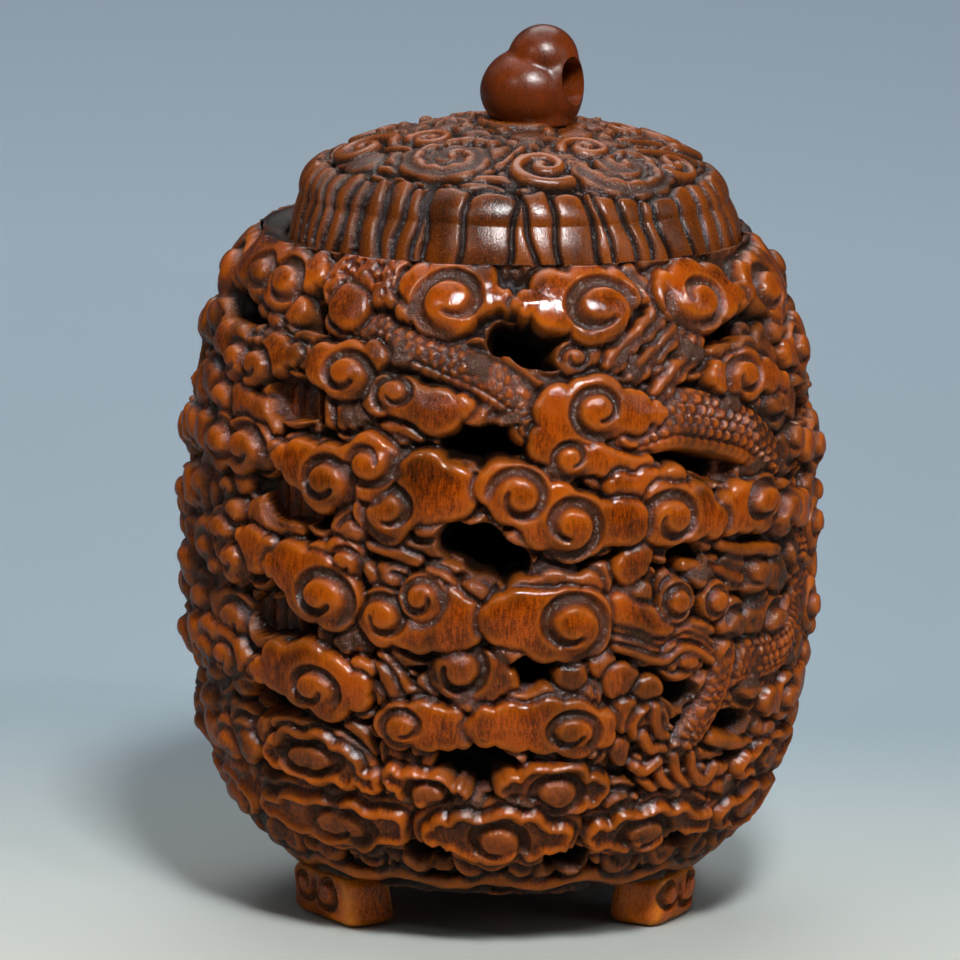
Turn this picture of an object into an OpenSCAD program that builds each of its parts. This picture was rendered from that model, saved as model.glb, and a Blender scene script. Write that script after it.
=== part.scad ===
// Pierced cloud-and-dragon cricket cage: a turned and carved wooden barrel on three bracket feet,
// with a lift-off domed lid. Millimetres, +Z up, origin on the floor at the middle of the feet.
// The carving's front faces -Y. Angles round the barrel are counted from there towards +X.

/* [Barrel] */
// Widest diameter, over the carving
barrel_d = 62; // [56:0.5:72]
// Diameter at the foot of the wall, over the carving
base_d = 45; // [42:0.5:50]
// Diameter at the rim, over the carving
rim_d = 48.6; // [47.6:0.2:52]
// Height of the rim above the table
rim_z = 66.4; // [62:0.2:72]
// Height of the widest place above the table
belly_z = 39; // [34:0.5:44]
// How square the barrel's shoulders are
shoulder_power = 3.2; // [2.4:0.1:4]
// Depth of the carving
relief = 1.8; // [1.4:0.1:2.4]
// Thickness of the wall behind the carving
wall = 2.9; // [2.2:0.1:3.4]
// Thickness of the ring at the foot of the wall
base_ring_h = 3.4; // [3:0.1:5]

/* [Carving] */
// Step down from the front clouds to the second layer
layer_step = 0.7; // [0.3:0.1:0.8]
// Step down from the front clouds to the folds between them
fold_step = 0.5; // [0.2:0.1:0.8]
// Height of the lip round the foot of the wall
lip_h = 1.5; // [1:0.1:2]
// Width of the groove round a scroll's eye
groove_w = 0.8; // [0.5:0.1:1.2]
// Depth of the groove round a scroll's eye
groove_depth = 0.7; // [0.4:0.1:1]
// How far the raised carving is rooted in the wall
root = 1; // [0.8:0.1:1.2]
// Width of the neck between two lobes, as a share of the lobes
neck_share = 0.8; // [0.6:0.05:0.95]

/* [Mouth] */
// Distance of the mouth's axis from the barrel's axis, to the right
mouth_shift = 1.2; // [0:0.1:1.4]
// Diameter of the mouth
mouth_d = 39.2; // [34:0.2:40]
// Depth of the mouth below the lid's seat
mouth_depth = 3.6; // [3.2:0.1:5]
// Depth of the lid's seat below the rim
seat_drop = 1.4; // [0.8:0.1:3]
// Gap round the lid's edge in its seat
seat_gap = 0.3; // [0.2:0.05:0.6]

/* [Floor] */
// Diameter of the floor disc's flange
floor_d = 31; // [28:0.5:31.5]
// Width of the ledge that the floor disc's flange is glued to
floor_ledge = 2; // [1:0.1:3]
// Thickness of the floor disc's flange
floor_flange_h = 1.5; // [1:0.1:2]
// Gap for glue round the floor disc, the pegs and the dowel
glue_gap = 0.06; // [0.04:0.01:0.1]

/* [Feet] */
// Height of a foot
foot_h = 5.2; // [4:0.1:7]
// Width of a foot across its carved face
foot_w = 9.2; // [6:0.1:9.6]
// Depth of a foot from its carved face inwards
foot_deep = 5.8; // [5:0.1:6]
// How far a foot's carved face stands in from the foot of the wall
foot_inset = 2.4; // [2:0.1:2.6]
// Radius of a foot's lower edge
foot_round = 1.2; // [0.6:0.1:1.6]
// Diameter of a foot's peg
peg_d = 2; // [1.6:0.1:2.2]
// Height of a foot's peg
peg_h = 2.4; // [1.6:0.1:2.6]
// Diameter of the scroll on a foot's face
foot_scroll_d = 3.4; // [2.4:0.1:3.8]

/* [Lid] */
// Diameter of the lid's edge
lid_d = 44; // [42:0.2:45]
// Height of the lid's pleated edge
edge_h = 4.6; // [3:0.1:6]
// How far the pleated edge draws in from bottom to top
edge_draw = 1.4; // [0.6:0.1:2]
// Rise of the dome above the pleated edge
dome_rise = 7.6; // [5:0.1:9]
// Thickness of the lid
lid_wall = 2.2; // [2:0.1:2.6]
// Depth of the spigot that stands in the mouth
spigot_h = 3; // [2:0.1:3.1]
// Thickness of the spigot
spigot_wall = 2; // [1.2:0.1:2.6]
// Gap between the spigot and the mouth
spigot_gap = 0.35; // [0.25:0.05:0.6]
// Number of pleats round the lid's edge
pleats = 34; // [24:1:48]
// Diameter of the gouge that cut the grooves between the pleats
pleat_d = 1.5; // [0.8:0.1:2]
// Depth of the carving on the dome
dome_depth = 0.8; // [0.5:0.1:1]

/* [Knob] */
// How far the knob stands off the lid's axis, to the right
knob_shift = 1.2; // [0:0.1:1.6]
// How far the upper bulb leans off the lower one, to the right
bud_shift = 1; // [0:0.1:1.4]
// Turn of the eye towards the front, in degrees
eye_turn = 18; // [0:1:30]
// Widest diameter of the knob's lower bulb
knob_d = 9.4; // [8:0.1:10]
// Diameter of the knob's upper bulb
bud_d = 6.8; // [5:0.1:7.6]
// Height of the knob above the dome
knob_h = 9; // [8.4:0.1:11]
// Diameter of the eye through the knob
eye_d = 3.4; // [2:0.1:3.6]
// Height of the eye's middle above the dome
eye_z = 3.8; // [3.6:0.1:4.4]
// Diameter of the dowel that holds the knob
dowel_d = 2.6; // [1.6:0.1:3]
// Length of the dowel inside the knob
dowel_up = 2; // [1:0.1:2.2]

/* [Hidden] */
$fn = 64;

box_brown = "#8a3f16";
dark_brown = "#5a2408";
honey_brown = "#a85c24";

bands = 8;
drawn_low = 5.2;
drawn_high = 66.4;
slope_span = 2;
dome_power = 0.5;
over = 1;
barrel_r = barrel_d / 2;
carve_share = (rim_z - foot_h) / (drawn_high - drawn_low);
seat_z = rim_z - seat_drop;
seat_r = lid_d / 2 + seat_gap;
neck_r = max(rim_d / 2 - relief / 2, seat_r + mouth_shift + seat_gap);
floor_top = foot_h + base_ring_h;
dome_z = seat_z + edge_h + dome_rise;
edge_top_r = lid_d / 2 - edge_draw;
foot_face_r = base_d / 2 - foot_inset;
peg_r_at = foot_face_r - foot_deep / 2;
spigot_r = mouth_d / 2 - spigot_gap;
foot_angles = [63, 183, 303];
land_r = knob_d / 2 + 0.7;
field_r = edge_top_r - over;
lid_root = 0.8;
lip_z = foot_h + 0.6;
lip_step = 0.4;

// Each cloud is a chain of lobes: [angle, height, radius, radius of the scroll's eye or 0].
// The list goes half way round, from the left edge to the right, and repeats on the far side.
front_clouds = [
    // Round the rim
    [[-87, 63.6, 2.2, 1.0], [-77, 64, 1.7, 0]],
    [[-66, 63.8, 2.2, 1.0], [-53.5, 63.4, 2.5, 1.2], [-46, 64, 1.2, 0]],
    [[-37, 63.6, 1.7, 0], [-31.5, 64.2, 2.0, 0.9], [-26, 64.2, 1.7, 0]],
    [[-12, 63.4, 2.9, 1.4], [-5, 63.8, 1.5, 0], [1, 63.4, 0.7, 0]],
    [[5, 63, 0.8, 0], [12, 63.4, 2.2, 0], [21, 63, 3.0, 1.5]],
    [[37, 63.4, 1.5, 0], [44, 63, 2.8, 1.3], [56, 62.8, 1.0, 0]],
    [[61, 62.6, 0.9, 0], [70, 62.6, 2.7, 1.2], [80, 63, 1.8, 0]],
    // Below the rim
    [[-62, 56, 2.2, 1.0], [-53, 56, 2.2, 1.1], [-44.5, 57.2, 0.9, 0]],
    [[-40, 57.2, 0.8, 0], [-30.5, 56.4, 2.5, 1.2]],
    [[-21, 54.5, 1.9, 1.0], [-11, 53.4, 1.9, 0]],
    [[29, 53.2, 0.9, 0], [18, 53.5, 2.9, 1.3], [11, 52.5, 2.4, 0], [12, 49, 1.9, 1.0]],
    [[45, 55.8, 1.2, 0], [53, 55.4, 2.2, 1.0], [64, 54.2, 0.9, 0]],
    [[72, 56.5, 1.2, 0], [81, 56, 2.4, 1.1], [89, 57, 1.4, 0]],
    // Upper belly
    [[-84, 48.6, 1.2, 0], [-74, 51.6, 2.3, 1.1]],
    [[-62, 47.4, 2.4, 1.2], [-53, 47.8, 2.3, 1.2], [-46.5, 47.8, 0.8, 0]],
    [[-42.5, 47.4, 0.9, 0], [-33, 46.4, 2.9, 1.3], [-25, 47.8, 2.5, 1.2]],
    [[-19.5, 44.4, 3.1, 1.4], [-10, 46, 2.7, 0]],
    [[3, 45.8, 2.9, 1.5], [12.5, 42.8, 3.3, 1.6], [22.5, 42.9, 1.7, 0]],
    [[31.5, 43.6, 3.0, 1.4], [41, 42.4, 1.3, 0]],
    [[46.5, 42.7, 1.6, 0], [54, 43, 2.5, 1.2]],
    [[63, 42, 2.4, 1.2], [72, 41, 1.4, 0]],
    [[77, 46.4, 1.2, 0], [85, 45.6, 2.4, 1.2]],
    // Middle of the belly
    [[-80, 41, 1.6, 0], [-70, 37.6, 2.3, 1.1]],
    [[-60, 38.8, 2.4, 1.1], [-54.5, 36.8, 2.3, 1.1], [-47, 38, 1.1, 0]],
    [[-44, 36.8, 0.9, 0], [-33.5, 35.4, 3.0, 1.4], [-28.5, 38.4, 1.7, 0]],
    [[-21, 33.6, 2.4, 1.2], [-13.5, 35, 2.5, 1.1], [-7, 33.8, 2.0, 0]],
    [[0.5, 33.7, 1.8, 0], [13, 33.3, 3.3, 1.7]],
    [[22, 34, 1.4, 0], [28, 32, 2.2, 0], [33, 30, 2.0, 0.8]],
    [[34, 35.2, 1.9, 1.1], [43, 34.6, 1.7, 0]],
    [[83, 38.6, 1.3, 0], [91, 37.7, 2.3, 1.2]],
    // Lower belly
    [[-82, 30, 1.5, 0], [-72, 29.4, 2.2, 1.0]],
    [[-61, 27.2, 2.4, 1.1], [-53, 27.4, 1.1, 0]],
    [[-47, 26.6, 1.0, 0], [-34, 26.2, 3.0, 1.3], [-26, 27.4, 1.3, 0]],
    [[-17.5, 23.1, 2.1, 1.1], [-8, 22.9, 1.2, 0]],
    [[-7, 28.6, 2.8, 1.6], [0.5, 27.6, 1.4, 0]],
    [[-1, 23.3, 1.3, 0], [13, 23, 2.4, 1.2]],
    [[61, 22.6, 1.4, 0], [69.5, 22.4, 2.2, 1.0], [80, 23.2, 1.8, 0]],
    [[83.5, 30.2, 2.2, 1.0], [91.5, 31.4, 1.1, 0]],
    // Round the foot
    [[-83, 18.2, 1.6, 0], [-72, 18, 2.0, 1.0], [-62, 18.6, 1.7, 0]],
    [[-46, 18.6, 1.2, 0], [-38, 18.8, 2.5, 1.3], [-30, 18.2, 1.5, 0]],
    [[-20, 17, 0.9, 0], [-13, 16.2, 1.9, 1.0]],
    [[4, 17, 1.2, 0], [12, 16.6, 2.3, 1.2], [19, 16.8, 1.1, 0]],
    [[58, 16.6, 1.1, 0], [68, 16.8, 2.0, 1.0], [78, 17.2, 1.3, 0]],
    [[-54, 12.2, 1.2, 0], [-45, 12, 1.8, 0]],
    [[-34, 11.9, 2.4, 1.3], [-22, 12.2, 1.5, 0]],
    [[-11, 12, 1.6, 0], [0.5, 11.7, 2.5, 1.4], [12, 11.7, 1.5, 0]],
    [[23, 11.6, 1.3, 0], [33, 11.9, 2.2, 1.2], [44, 11.9, 1.2, 0]],
    [[56, 11.8, 1.3, 0], [66, 11.7, 2.1, 1.1], [76, 12, 1.3, 0]],
    [[-77, 12, 1.4, 0], [-67, 11.8, 1.9, 1.0]]
];

// The second layer: the dragon's coils and the folds between the clouds, as chains of [angle, height, radius].
front_coils = [
    [[-35, 61.2, 1.7], [-27, 60.2, 2.0], [-20, 59.4, 2.2]],
    [[-14, 58.4, 2.3], [-6, 57, 2.2], [2, 54.6, 2.2], [5, 52.2, 1.7]],
    [[26, 51.4, 2.0], [34, 51.8, 2.9], [43, 51.2, 3.0]],
    [[49, 50.2, 3.0], [59, 46.8, 2.6]],
    [[70, 38.6, 2.5], [76, 34.6, 2.7], [72, 30, 2.4]],
    [[65, 28.4, 2.2], [52, 27.6, 2.0], [44.5, 25.4, 2.0], [39, 21.4, 1.8]],
    [[24, 38.4, 1.6], [27.5, 40, 0.9]],
    [[27, 18.6, 1.5], [35, 17, 1.7], [43, 16.8, 1.8]],
    [[-22, 30, 0.9], [-22, 25.6, 1.2]]
];

// The narrow folds between the clouds, as chains of [angle, height, radius].
front_folds = [
    // The flames at the right of the rim
    [[29, 64.6, 0.7], [32.5, 62.6, 0.8], [29, 60.8, 0.7], [20, 58.2, 0.7]],
    [[34, 63.8, 0.7], [36.8, 62, 0.8], [33, 60.2, 0.7], [24, 57.4, 0.7]],
    [[38.6, 60.6, 0.8], [36.5, 58.2, 0.8], [29, 55.6, 0.8]],
    // The dragon's tuft, hair and claws
    [[21.5, 33.8, 0.6], [30, 32.6, 0.6], [36, 33.2, 0.6], [42, 32, 0.6]],
    [[31, 30.4, 0.7], [32.5, 28.2, 0.7], [39, 28.4, 0.7], [42, 30, 0.7]],
    [[30, 24.4, 0.6], [31, 22.4, 0.7], [33, 21.4, 0.6]],
    [[45, 20.4, 0.7], [52, 19.4, 0.7], [58, 18.8, 0.7]],
    [[41, 14.8, 0.6], [46, 14, 0.6], [54, 11.6, 0.6]],
    [[44, 39.8, 0.7], [55, 38.4, 0.8], [62, 37.8, 0.7]],
    [[36, 37.6, 0.7], [50, 36, 0.7]],
    // Between the clouds at the left and in the middle
    [[-33.5, 54, 0.8], [-33, 51.6, 0.8]],
    [[-26.8, 53.6, 0.9], [-25.2, 51.4, 0.9]],
    [[-23, 51.2, 0.8], [-15, 50.8, 0.8]],
    [[-24, 40.2, 0.7], [-15, 39, 0.7]],
    [[-26, 38.2, 0.7], [-22, 36.2, 0.7]],
    [[-12.5, 38, 0.6], [-5, 35.4, 0.6]],
    [[-26.5, 33.3, 0.7], [-25.6, 30, 0.7]],
    [[-30, 33, 0.7], [-29, 30.8, 0.7]],
    [[-18.5, 28, 0.6], [-14.4, 25.9, 0.6]],
    [[-15, 25.6, 0.6], [-6.2, 24.8, 0.6]],
    [[-29, 22.6, 0.7], [-24.6, 19.8, 0.7]],
    [[-20, 21, 0.8], [-19.4, 19.4, 0.8]],
    [[-46, 21.6, 0.6], [-36, 22, 0.6], [-27, 19.9, 0.6]],
    [[-28, 15, 0.6], [-17, 14.2, 0.6]],
    [[16, 13.2, 0.6], [25, 14.2, 0.6], [29, 15, 0.6]]
];

// The holes right through the wall, each a slot between two ends: [angle, height, radius].
front_holes = [
    [[-58, 60.2, 0.9], [-63, 60.6, 0.8]], [[-39, 60.9, 1.0], [-43.5, 61.2, 0.9]], [[2, 60.4, 0.9], [8, 59.3, 1.2]],
    [[43, 59.6, 0.7], [50, 60, 0.8]], [[-40, 53.6, 1.2], [-46, 53.2, 1.2]], [[-8.5, 50.2, 0.8], [0, 50.4, 1.0]],
    [[35, 48, 0.5], [42, 47.2, 0.6]], [[-36, 42.6, 0.9], [-46, 43, 1.3]], [[-6, 40.6, 1.0], [0, 39.6, 1.3]],
    [[35.5, 39.3, 0.8], [43, 38.8, 0.6]], [[-42, 32.2, 0.9], [-48, 32.2, 1.2]], [[6, 28.6, 0.8], [9.5, 28.2, 0.8]],
    [[33, 26.4, 0.6], [37, 25.6, 0.8]], [[-45, 23.4, 0.7], [-52, 23, 0.7]], [[-8, 19.6, 1.0], [-1, 18.6, 1.5]],
    [[48, 22, 0.5], [55, 21.6, 0.6]], [[-48, 16, 0.6], [-52, 16.4, 0.6]], [[-19, 9.2, 0.7], [-13, 9.2, 0.8]],
    [[14, 9, 0.7], [20, 8.9, 0.6]], [[-89, 60, 0.9], [-94, 60, 1.0]], [[-88, 53.4, 1.2], [-94, 53.4, 1.0]],
    [[-90, 43.6, 1.2], [-96, 43.4, 1.2]], [[-90, 33.6, 1.2], [-96, 33.2, 1.2]], [[-88, 24, 0.9], [-94, 23.8, 1.0]]
];

// The clouds on the dome, as chains of [angle, distance from the lid's axis, radius, radius of the eye or 0].
dome_chains = [
    [[-46, 12.6, 2.2, 0], [-28, 14.2, 3.4, 1.6], [-10, 15.4, 2.2, 0]],
    [[-2, 11.6, 1.4, 0], [9, 12.9, 2.3, 1.0], [19, 11.4, 1.6, 0]],
    [[27, 10.4, 1.8, 0], [42, 11.9, 3.2, 1.5], [56, 12.6, 2, 0]],
    [[20, 16.4, 1.6, 0], [34, 16.4, 2, 0.9], [52, 16.6, 1.5, 0]],
    [[62, 8.8, 2.1, 0.9], [72, 9.8, 1.6, 0]],
    [[-60, 9.4, 1.8, 0], [-72, 10.6, 2.4, 0], [-84, 12.6, 2.6, 1.2]],
    [[-42, 8.6, 1.6, 0], [-33, 9.2, 1.9, 0.8], [-22, 8.9, 1.5, 0]],
    [[-64, 16.4, 1.7, 0.8], [-50, 17, 1.9, 0]],
    [[92, 11.4, 2, 0], [106, 13, 3.2, 1.5], [122, 13.6, 2, 0]],
    [[84, 16.4, 1.6, 0], [100, 17.2, 1.8, 0.8]],
    [[118, 9, 1.8, 0.8], [130, 9.6, 1.6, 0]],
    [[138, 11.6, 2, 0], [152, 13.6, 3.3, 1.6], [170, 14.6, 2, 0]],
    [[162, 9, 1.7, 0], [174, 9.6, 1.9, 0.8], [186, 9, 1.4, 0]],
    [[190, 12, 2, 0], [204, 13, 3, 1.4], [218, 12, 1.8, 0]],
    [[196, 17, 1.6, 0], [212, 17.2, 1.8, 0.8]],
    [[228, 9.4, 1.8, 0], [240, 11, 2.4, 1.1], [252, 12.4, 2, 0]]
];

// Turns a list laid out on the front half into one that goes all the way round.
function all_round(chains) = [
    for (turn = [0, 180]) for (chain = chains)
        [for (p = chain) [
            p[0] + turn, foot_h + (p[1] - drawn_low) * carve_share, p[2] * carve_share,
            len(p) > 3 ? p[3] * carve_share : 0
        ]]
];

// Radius of the carving's outer surface at a height.
function skin_r(z) = let (
        up = (z - belly_z) / (rim_z - belly_z),
        down = (belly_z - z) / (belly_z - foot_h)
    )
    z > belly_z
        ? barrel_r - (barrel_r - rim_d / 2) * pow(min(up, 1), shoulder_power)
        : barrel_r - (barrel_r - base_d / 2) * pow(min(down, 1), shoulder_power);

// Radius of the ground behind the carving: the neck below the rim keeps the wall whole round the lid's seat.
function ground_r(z) = z > belly_z ? max(skin_r(z) - relief, neck_r) : skin_r(z) - relief;

function heights(low, high) = [for (i = [0 : bands]) low + (high - low) * i / bands];

module ground() {
    rotate_extrude()
        polygon(concat(
            [[0, foot_h]],
            [for (z = heights(foot_h, rim_z)) [ground_r(z), z]],
            [[0, rim_z]]
        ));
}

// Stands its children on the barrel at an angle and a height, facing out.
module facing(angle, height) {
    rotate([0, 0, angle])
        translate([0, 0, height])
            rotate([90, 0, 0])
                children();
}

// A chain of the barrel in a flat drawing, seen square on from its middle, with the slope opened out.
function flat_chain(chain, mid, tilt) = [
    for (p = chain) [skin_r(p[1]) * sin(p[0] - mid[0]), (p[1] - mid[1]) / cos(tilt), p[2], p[3]]
];

// A chain of the dome in a flat drawing, in the same way.
function flat_dome_chain(chain, mid, tilt) = [
    for (p = chain) let (turn = p[0] - mid[0])
        [p[1] * sin(turn), (mid[1] - p[1] * cos(turn)) / cos(tilt), p[2], p[3]]
];

function mid_of(chain) = let (
        angles = [for (p = chain) p[0]],
        lows = [for (p = chain) p[1] - p[2]],
        highs = [for (p = chain) p[1] + p[2]]
    )
    [(min(angles) + max(angles)) / 2, (min(lows) + max(highs)) / 2];

// The barrel's slope at a height, as the tilt of a face that lies on it.
function tilt_at(z) = atan((skin_r(z + slope_span) - skin_r(z - slope_span)) / (2 * slope_span));

// The outline of a flat chain of lobes.
module chain_outline(lobes) {
    for (lobe = lobes)
        translate([lobe[0], lobe[1]])
            circle(r = lobe[2]);
    for (i = [0 : len(lobes) - 2]) {
        from = [lobes[i][0], lobes[i][1]];
        to = [lobes[i + 1][0], lobes[i + 1][1]];
        along = (to - from) / norm(to - from);
        side = neck_share * [-along[1], along[0]];
        polygon([
            from + lobes[i][2] * side, from - lobes[i][2] * side,
            to - lobes[i + 1][2] * side, to + lobes[i + 1][2] * side
        ]);
    }
}

// A flat chain as a slab below its face, with ring-shaped grooves round its scrolls' eyes.
module slab(lobes, deep) {
    difference() {
        translate([0, 0, -deep])
            linear_extrude(deep)
                chain_outline(lobes);
        for (lobe = lobes)
            if (lobe[3] > 0)
                translate([lobe[0], lobe[1], -groove_depth])
                    ring_groove(lobe[3]);
    }
}

// A chain carved as a plate on the barrel's slope.
module plate(chain, step) {
    mid = mid_of(chain);
    tilt = tilt_at(mid[1]);
    deep = (relief + root) * pow(cos(tilt), 2);
    facing(mid[0], mid[1])
        translate([0, 0, skin_r(mid[1]) - step])
            rotate([tilt, 0, 0])
                slab(flat_chain(chain, mid, tilt), deep);
}

// A ring-shaped groove's tool, standing on its floor.
module ring_groove(inner_r) {
    difference() {
        cylinder(h = relief, r = inner_r + groove_w);
        translate([0, 0, -over])
            cylinder(h = relief + 2 * over, r = inner_r);
    }
}

// No two neighbouring clouds lie at quite the same depth.
function cloud_step(i) = layer_step * (i * 5 % 8) / 12;

module carving() {
    clouds = all_round(front_clouds);
    coils = all_round(front_coils);
    folds = all_round(front_folds);
    for (i = [0 : len(clouds) - 1])
        plate(clouds[i], cloud_step(i));
    for (i = [0 : len(coils) - 1])
        plate(coils[i], layer_step + cloud_step(i));
    for (i = [0 : len(folds) - 1])
        plate(folds[i], fold_step + cloud_step(i));
    base_lip();
}

// The lip round the foot of the wall.
module base_lip() {
    outer_r = skin_r(lip_z) - lip_step;
    translate([0, 0, lip_z])
        difference() {
            cylinder(h = lip_h, r = outer_r);
            translate([0, 0, -over])
                cylinder(h = lip_h + 2 * over, r = outer_r - relief - root + lip_step);
        }
}

module air_holes() {
    for (hole = all_round(front_holes)) {
        mid = mid_of(hole);
        inside = skin_r(mid[1]) - relief - wall - 2 * over;
        facing(mid[0], mid[1])
            translate([0, 0, inside])
                linear_extrude(barrel_r + over - inside)
                    chain_outline(flat_chain(hole, mid, 0));
    }
}

module cavity() {
    top = seat_z - mouth_depth;
    rotate_extrude()
        polygon(concat(
            [[0, floor_top]],
            [for (z = heights(floor_top, top)) [skin_r(z) - relief - wall, z]],
            [[0, top]]
        ));
    translate([mouth_shift, 0, top - over])
        cylinder(h = mouth_depth + 3 * over, d = mouth_d);
    translate([mouth_shift, 0, seat_z])
        cylinder(h = rim_z, r = seat_r);
    translate([0, 0, foot_h - over])
        cylinder(h = base_ring_h + 2 * over, r = floor_d / 2 - floor_ledge);
    translate([0, 0, foot_h - over])
        cylinder(h = floor_flange_h + over, r = floor_d / 2);
}

module peg_sockets() {
    for (angle = foot_angles)
        rotate([0, 0, angle])
            translate([0, -peg_r_at, foot_h - over])
                cylinder(h = peg_h + over + glue_gap, d = peg_d + 2 * glue_gap);
}

// The turned wall, pierced by the air holes.
module pierced_wall() {
    color(dark_brown)
        difference() {
            ground();
            cavity();
            peg_sockets();
            air_holes();
        }
}

// What the carver left standing on the wall. In the wood it is one with the wall, so it is rooted in it.
module cloud_relief() {
    color(box_brown)
        carving();
}

module floor_disc() {
    color(dark_brown)
        union() {
            translate([0, 0, foot_h])
                cylinder(h = floor_flange_h, r = floor_d / 2 - glue_gap);
            translate([0, 0, foot_h])
                cylinder(h = base_ring_h, r = floor_d / 2 - floor_ledge - glue_gap);
        }
}

// One bracket foot, at the front: a block with a rounded lower edge, a scroll on its face and a peg on top.
module foot() {
    color(honey_brown) {
        difference() {
            intersection() {
                translate([-foot_w / 2, -foot_face_r, 0])
                    cube([foot_w, foot_deep, foot_h]);
                rotate_extrude()
                    union() {
                        square([foot_face_r - foot_round, foot_h]);
                        translate([0, foot_round])
                            square([foot_face_r, foot_h - foot_round]);
                        translate([foot_face_r - foot_round, foot_round])
                            circle(r = foot_round);
                    }
            }
            facing(0, foot_h * 0.55)
                translate([0, 0, foot_face_r - groove_depth])
                    ring_groove(foot_scroll_d / 2 - groove_w);
        }
        translate([0, -peg_r_at, foot_h])
            cylinder(h = peg_h, d = peg_d);
    }
}

module foot_front_right() { rotate([0, 0, foot_angles[0]]) foot(); }
module foot_rear() { rotate([0, 0, foot_angles[1]]) foot(); }
module foot_front_left() { rotate([0, 0, foot_angles[2]]) foot(); }

// Height of the dome above the pleated edge, at a radius.
function dome_at(r, wide, high) = high * pow(max(0, 1 - pow(r / wide, 2)), dome_power);

// The lid's outer or inner form: a drawn-in edge and a dome, less a thickness.
module lid_form(inward) {
    high = dome_rise - inward;
    wide = edge_top_r - inward;
    rotate_extrude()
        polygon(concat(
            [[0, 0], [lid_d / 2 - inward, 0]],
            [for (i = [0 : bands]) let (r = wide * cos(90 * i / bands)) [r, edge_h + dome_at(r, wide, high)]]
        ));
}

// The lid, carved away between its pleats and the knob: the clouds stand on that field.
module lid() {
    color(dark_brown)
        translate([mouth_shift, 0, seat_z])
            difference() {
                union() {
                    difference() {
                        lid_form(0);
                        lid_pleats();
                        dome_field();
                    }
                    translate([0, 0, -spigot_h])
                        cylinder(h = spigot_h + over, r = spigot_r);
                }
                intersection() {
                    lid_form(lid_wall);
                    translate([0, 0, -over])
                        cylinder(h = edge_h + dome_rise, r = spigot_r - spigot_wall);
                }
                translate([0, 0, -spigot_h - over])
                    cylinder(h = spigot_h + 2 * over, r = spigot_r - spigot_wall);
                translate([knob_shift, 0, 0])
                    cylinder(h = 2 * (edge_h + dome_rise), d = dowel_d + 2 * glue_gap);
            }
}

// The gouge cuts between the pleats of the lid's edge.
module lid_pleats() {
    lean = atan(edge_draw / edge_h);
    for (i = [0 : pleats - 1])
        rotate([0, 0, 360 * (i + 0.5) / pleats])
            translate([0, -lid_d / 2 - pleat_d / 8, -over])
                rotate([-lean, 0, 0])
                    cylinder(h = edge_h + over + edge_draw, d = pleat_d);
}

// What is carved away from the dome, round the knob's land.
module dome_field() {
    reach = field_r - land_r;
    rotate_extrude()
        polygon(concat(
            [for (i = [0 : bands]) let (r = land_r + reach * i / bands)
                [r, edge_h + dome_at(r, edge_top_r, dome_rise) - dome_depth]],
            [[field_r, edge_h + dome_rise + over], [land_r, edge_h + dome_rise + over]]
        ));
}

// The dome's slope at a radius, as the tilt of a face that lies on it.
function dome_tilt(r) =
    atan((dome_at(r - over, edge_top_r, dome_rise) - dome_at(r + over, edge_top_r, dome_rise)) / (2 * over));

// What the carver left standing on the dome. In the wood it is one with the lid, so it is rooted in it.
module dome_clouds() {
    color(box_brown)
        translate([mouth_shift, 0, seat_z])
            for (chain = dome_chains)
                dome_plate(chain);
}

module dome_plate(chain) {
    mid = mid_of(chain);
    tilt = dome_tilt(mid[1]);
    rotate([0, 0, mid[0]])
        translate([0, -mid[1], edge_h + dome_at(mid[1], edge_top_r, dome_rise)])
            rotate([tilt, 0, 0])
                slab(flat_dome_chain(chain, mid, tilt), dome_depth + lid_root);
}

module knob() {
    bud_r = bud_d / 2;
    bulb_r = knob_d / 2;
    bulb_z = bulb_r / 2;
    color(dark_brown)
        translate([mouth_shift + knob_shift, 0, dome_z])
            difference() {
                intersection() {
                    union() {
                        translate([0, 0, bulb_z])
                            sphere(r = bulb_r);
                        translate([bud_shift, 0, knob_h - bud_r])
                            sphere(r = bud_r);
                    }
                    translate([0, 0, -0.4])
                        cylinder(h = knob_h + over, r = knob_d);
                }
                lid_seat_for_knob();
                translate([0, 0, eye_z])
                    rotate([0, 90, -eye_turn])
                        cylinder(h = 2 * knob_d, d = eye_d, center = true);
                translate([0, 0, -over])
                    cylinder(h = dowel_up + over + glue_gap, d = dowel_d + 2 * glue_gap);
            }
}

// The dome's top, which the knob's foot is hollowed to sit on.
module lid_seat_for_knob() {
    translate([-knob_shift, 0, -edge_h - dome_rise])
        lid_form(0);
}

module knob_dowel() {
    color(honey_brown)
        translate([mouth_shift + knob_shift, 0, dome_z - lid_wall])
            cylinder(h = lid_wall + dowel_up, d = dowel_d);
}

pierced_wall();
cloud_relief();
floor_disc();
foot_front_right();
foot_rear();
foot_front_left();
lid();
dome_clouds();
knob();
knob_dowel();
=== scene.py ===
"""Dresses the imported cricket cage: carved barrel, bracket feet, pleated lid and knob."""

import logging
import math
from dataclasses import dataclass
from enum import Enum
from typing import ClassVar, Dict, List, Sequence, Tuple, Union

import bpy
import numpy as np
from mathutils import Matrix, Vector


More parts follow.
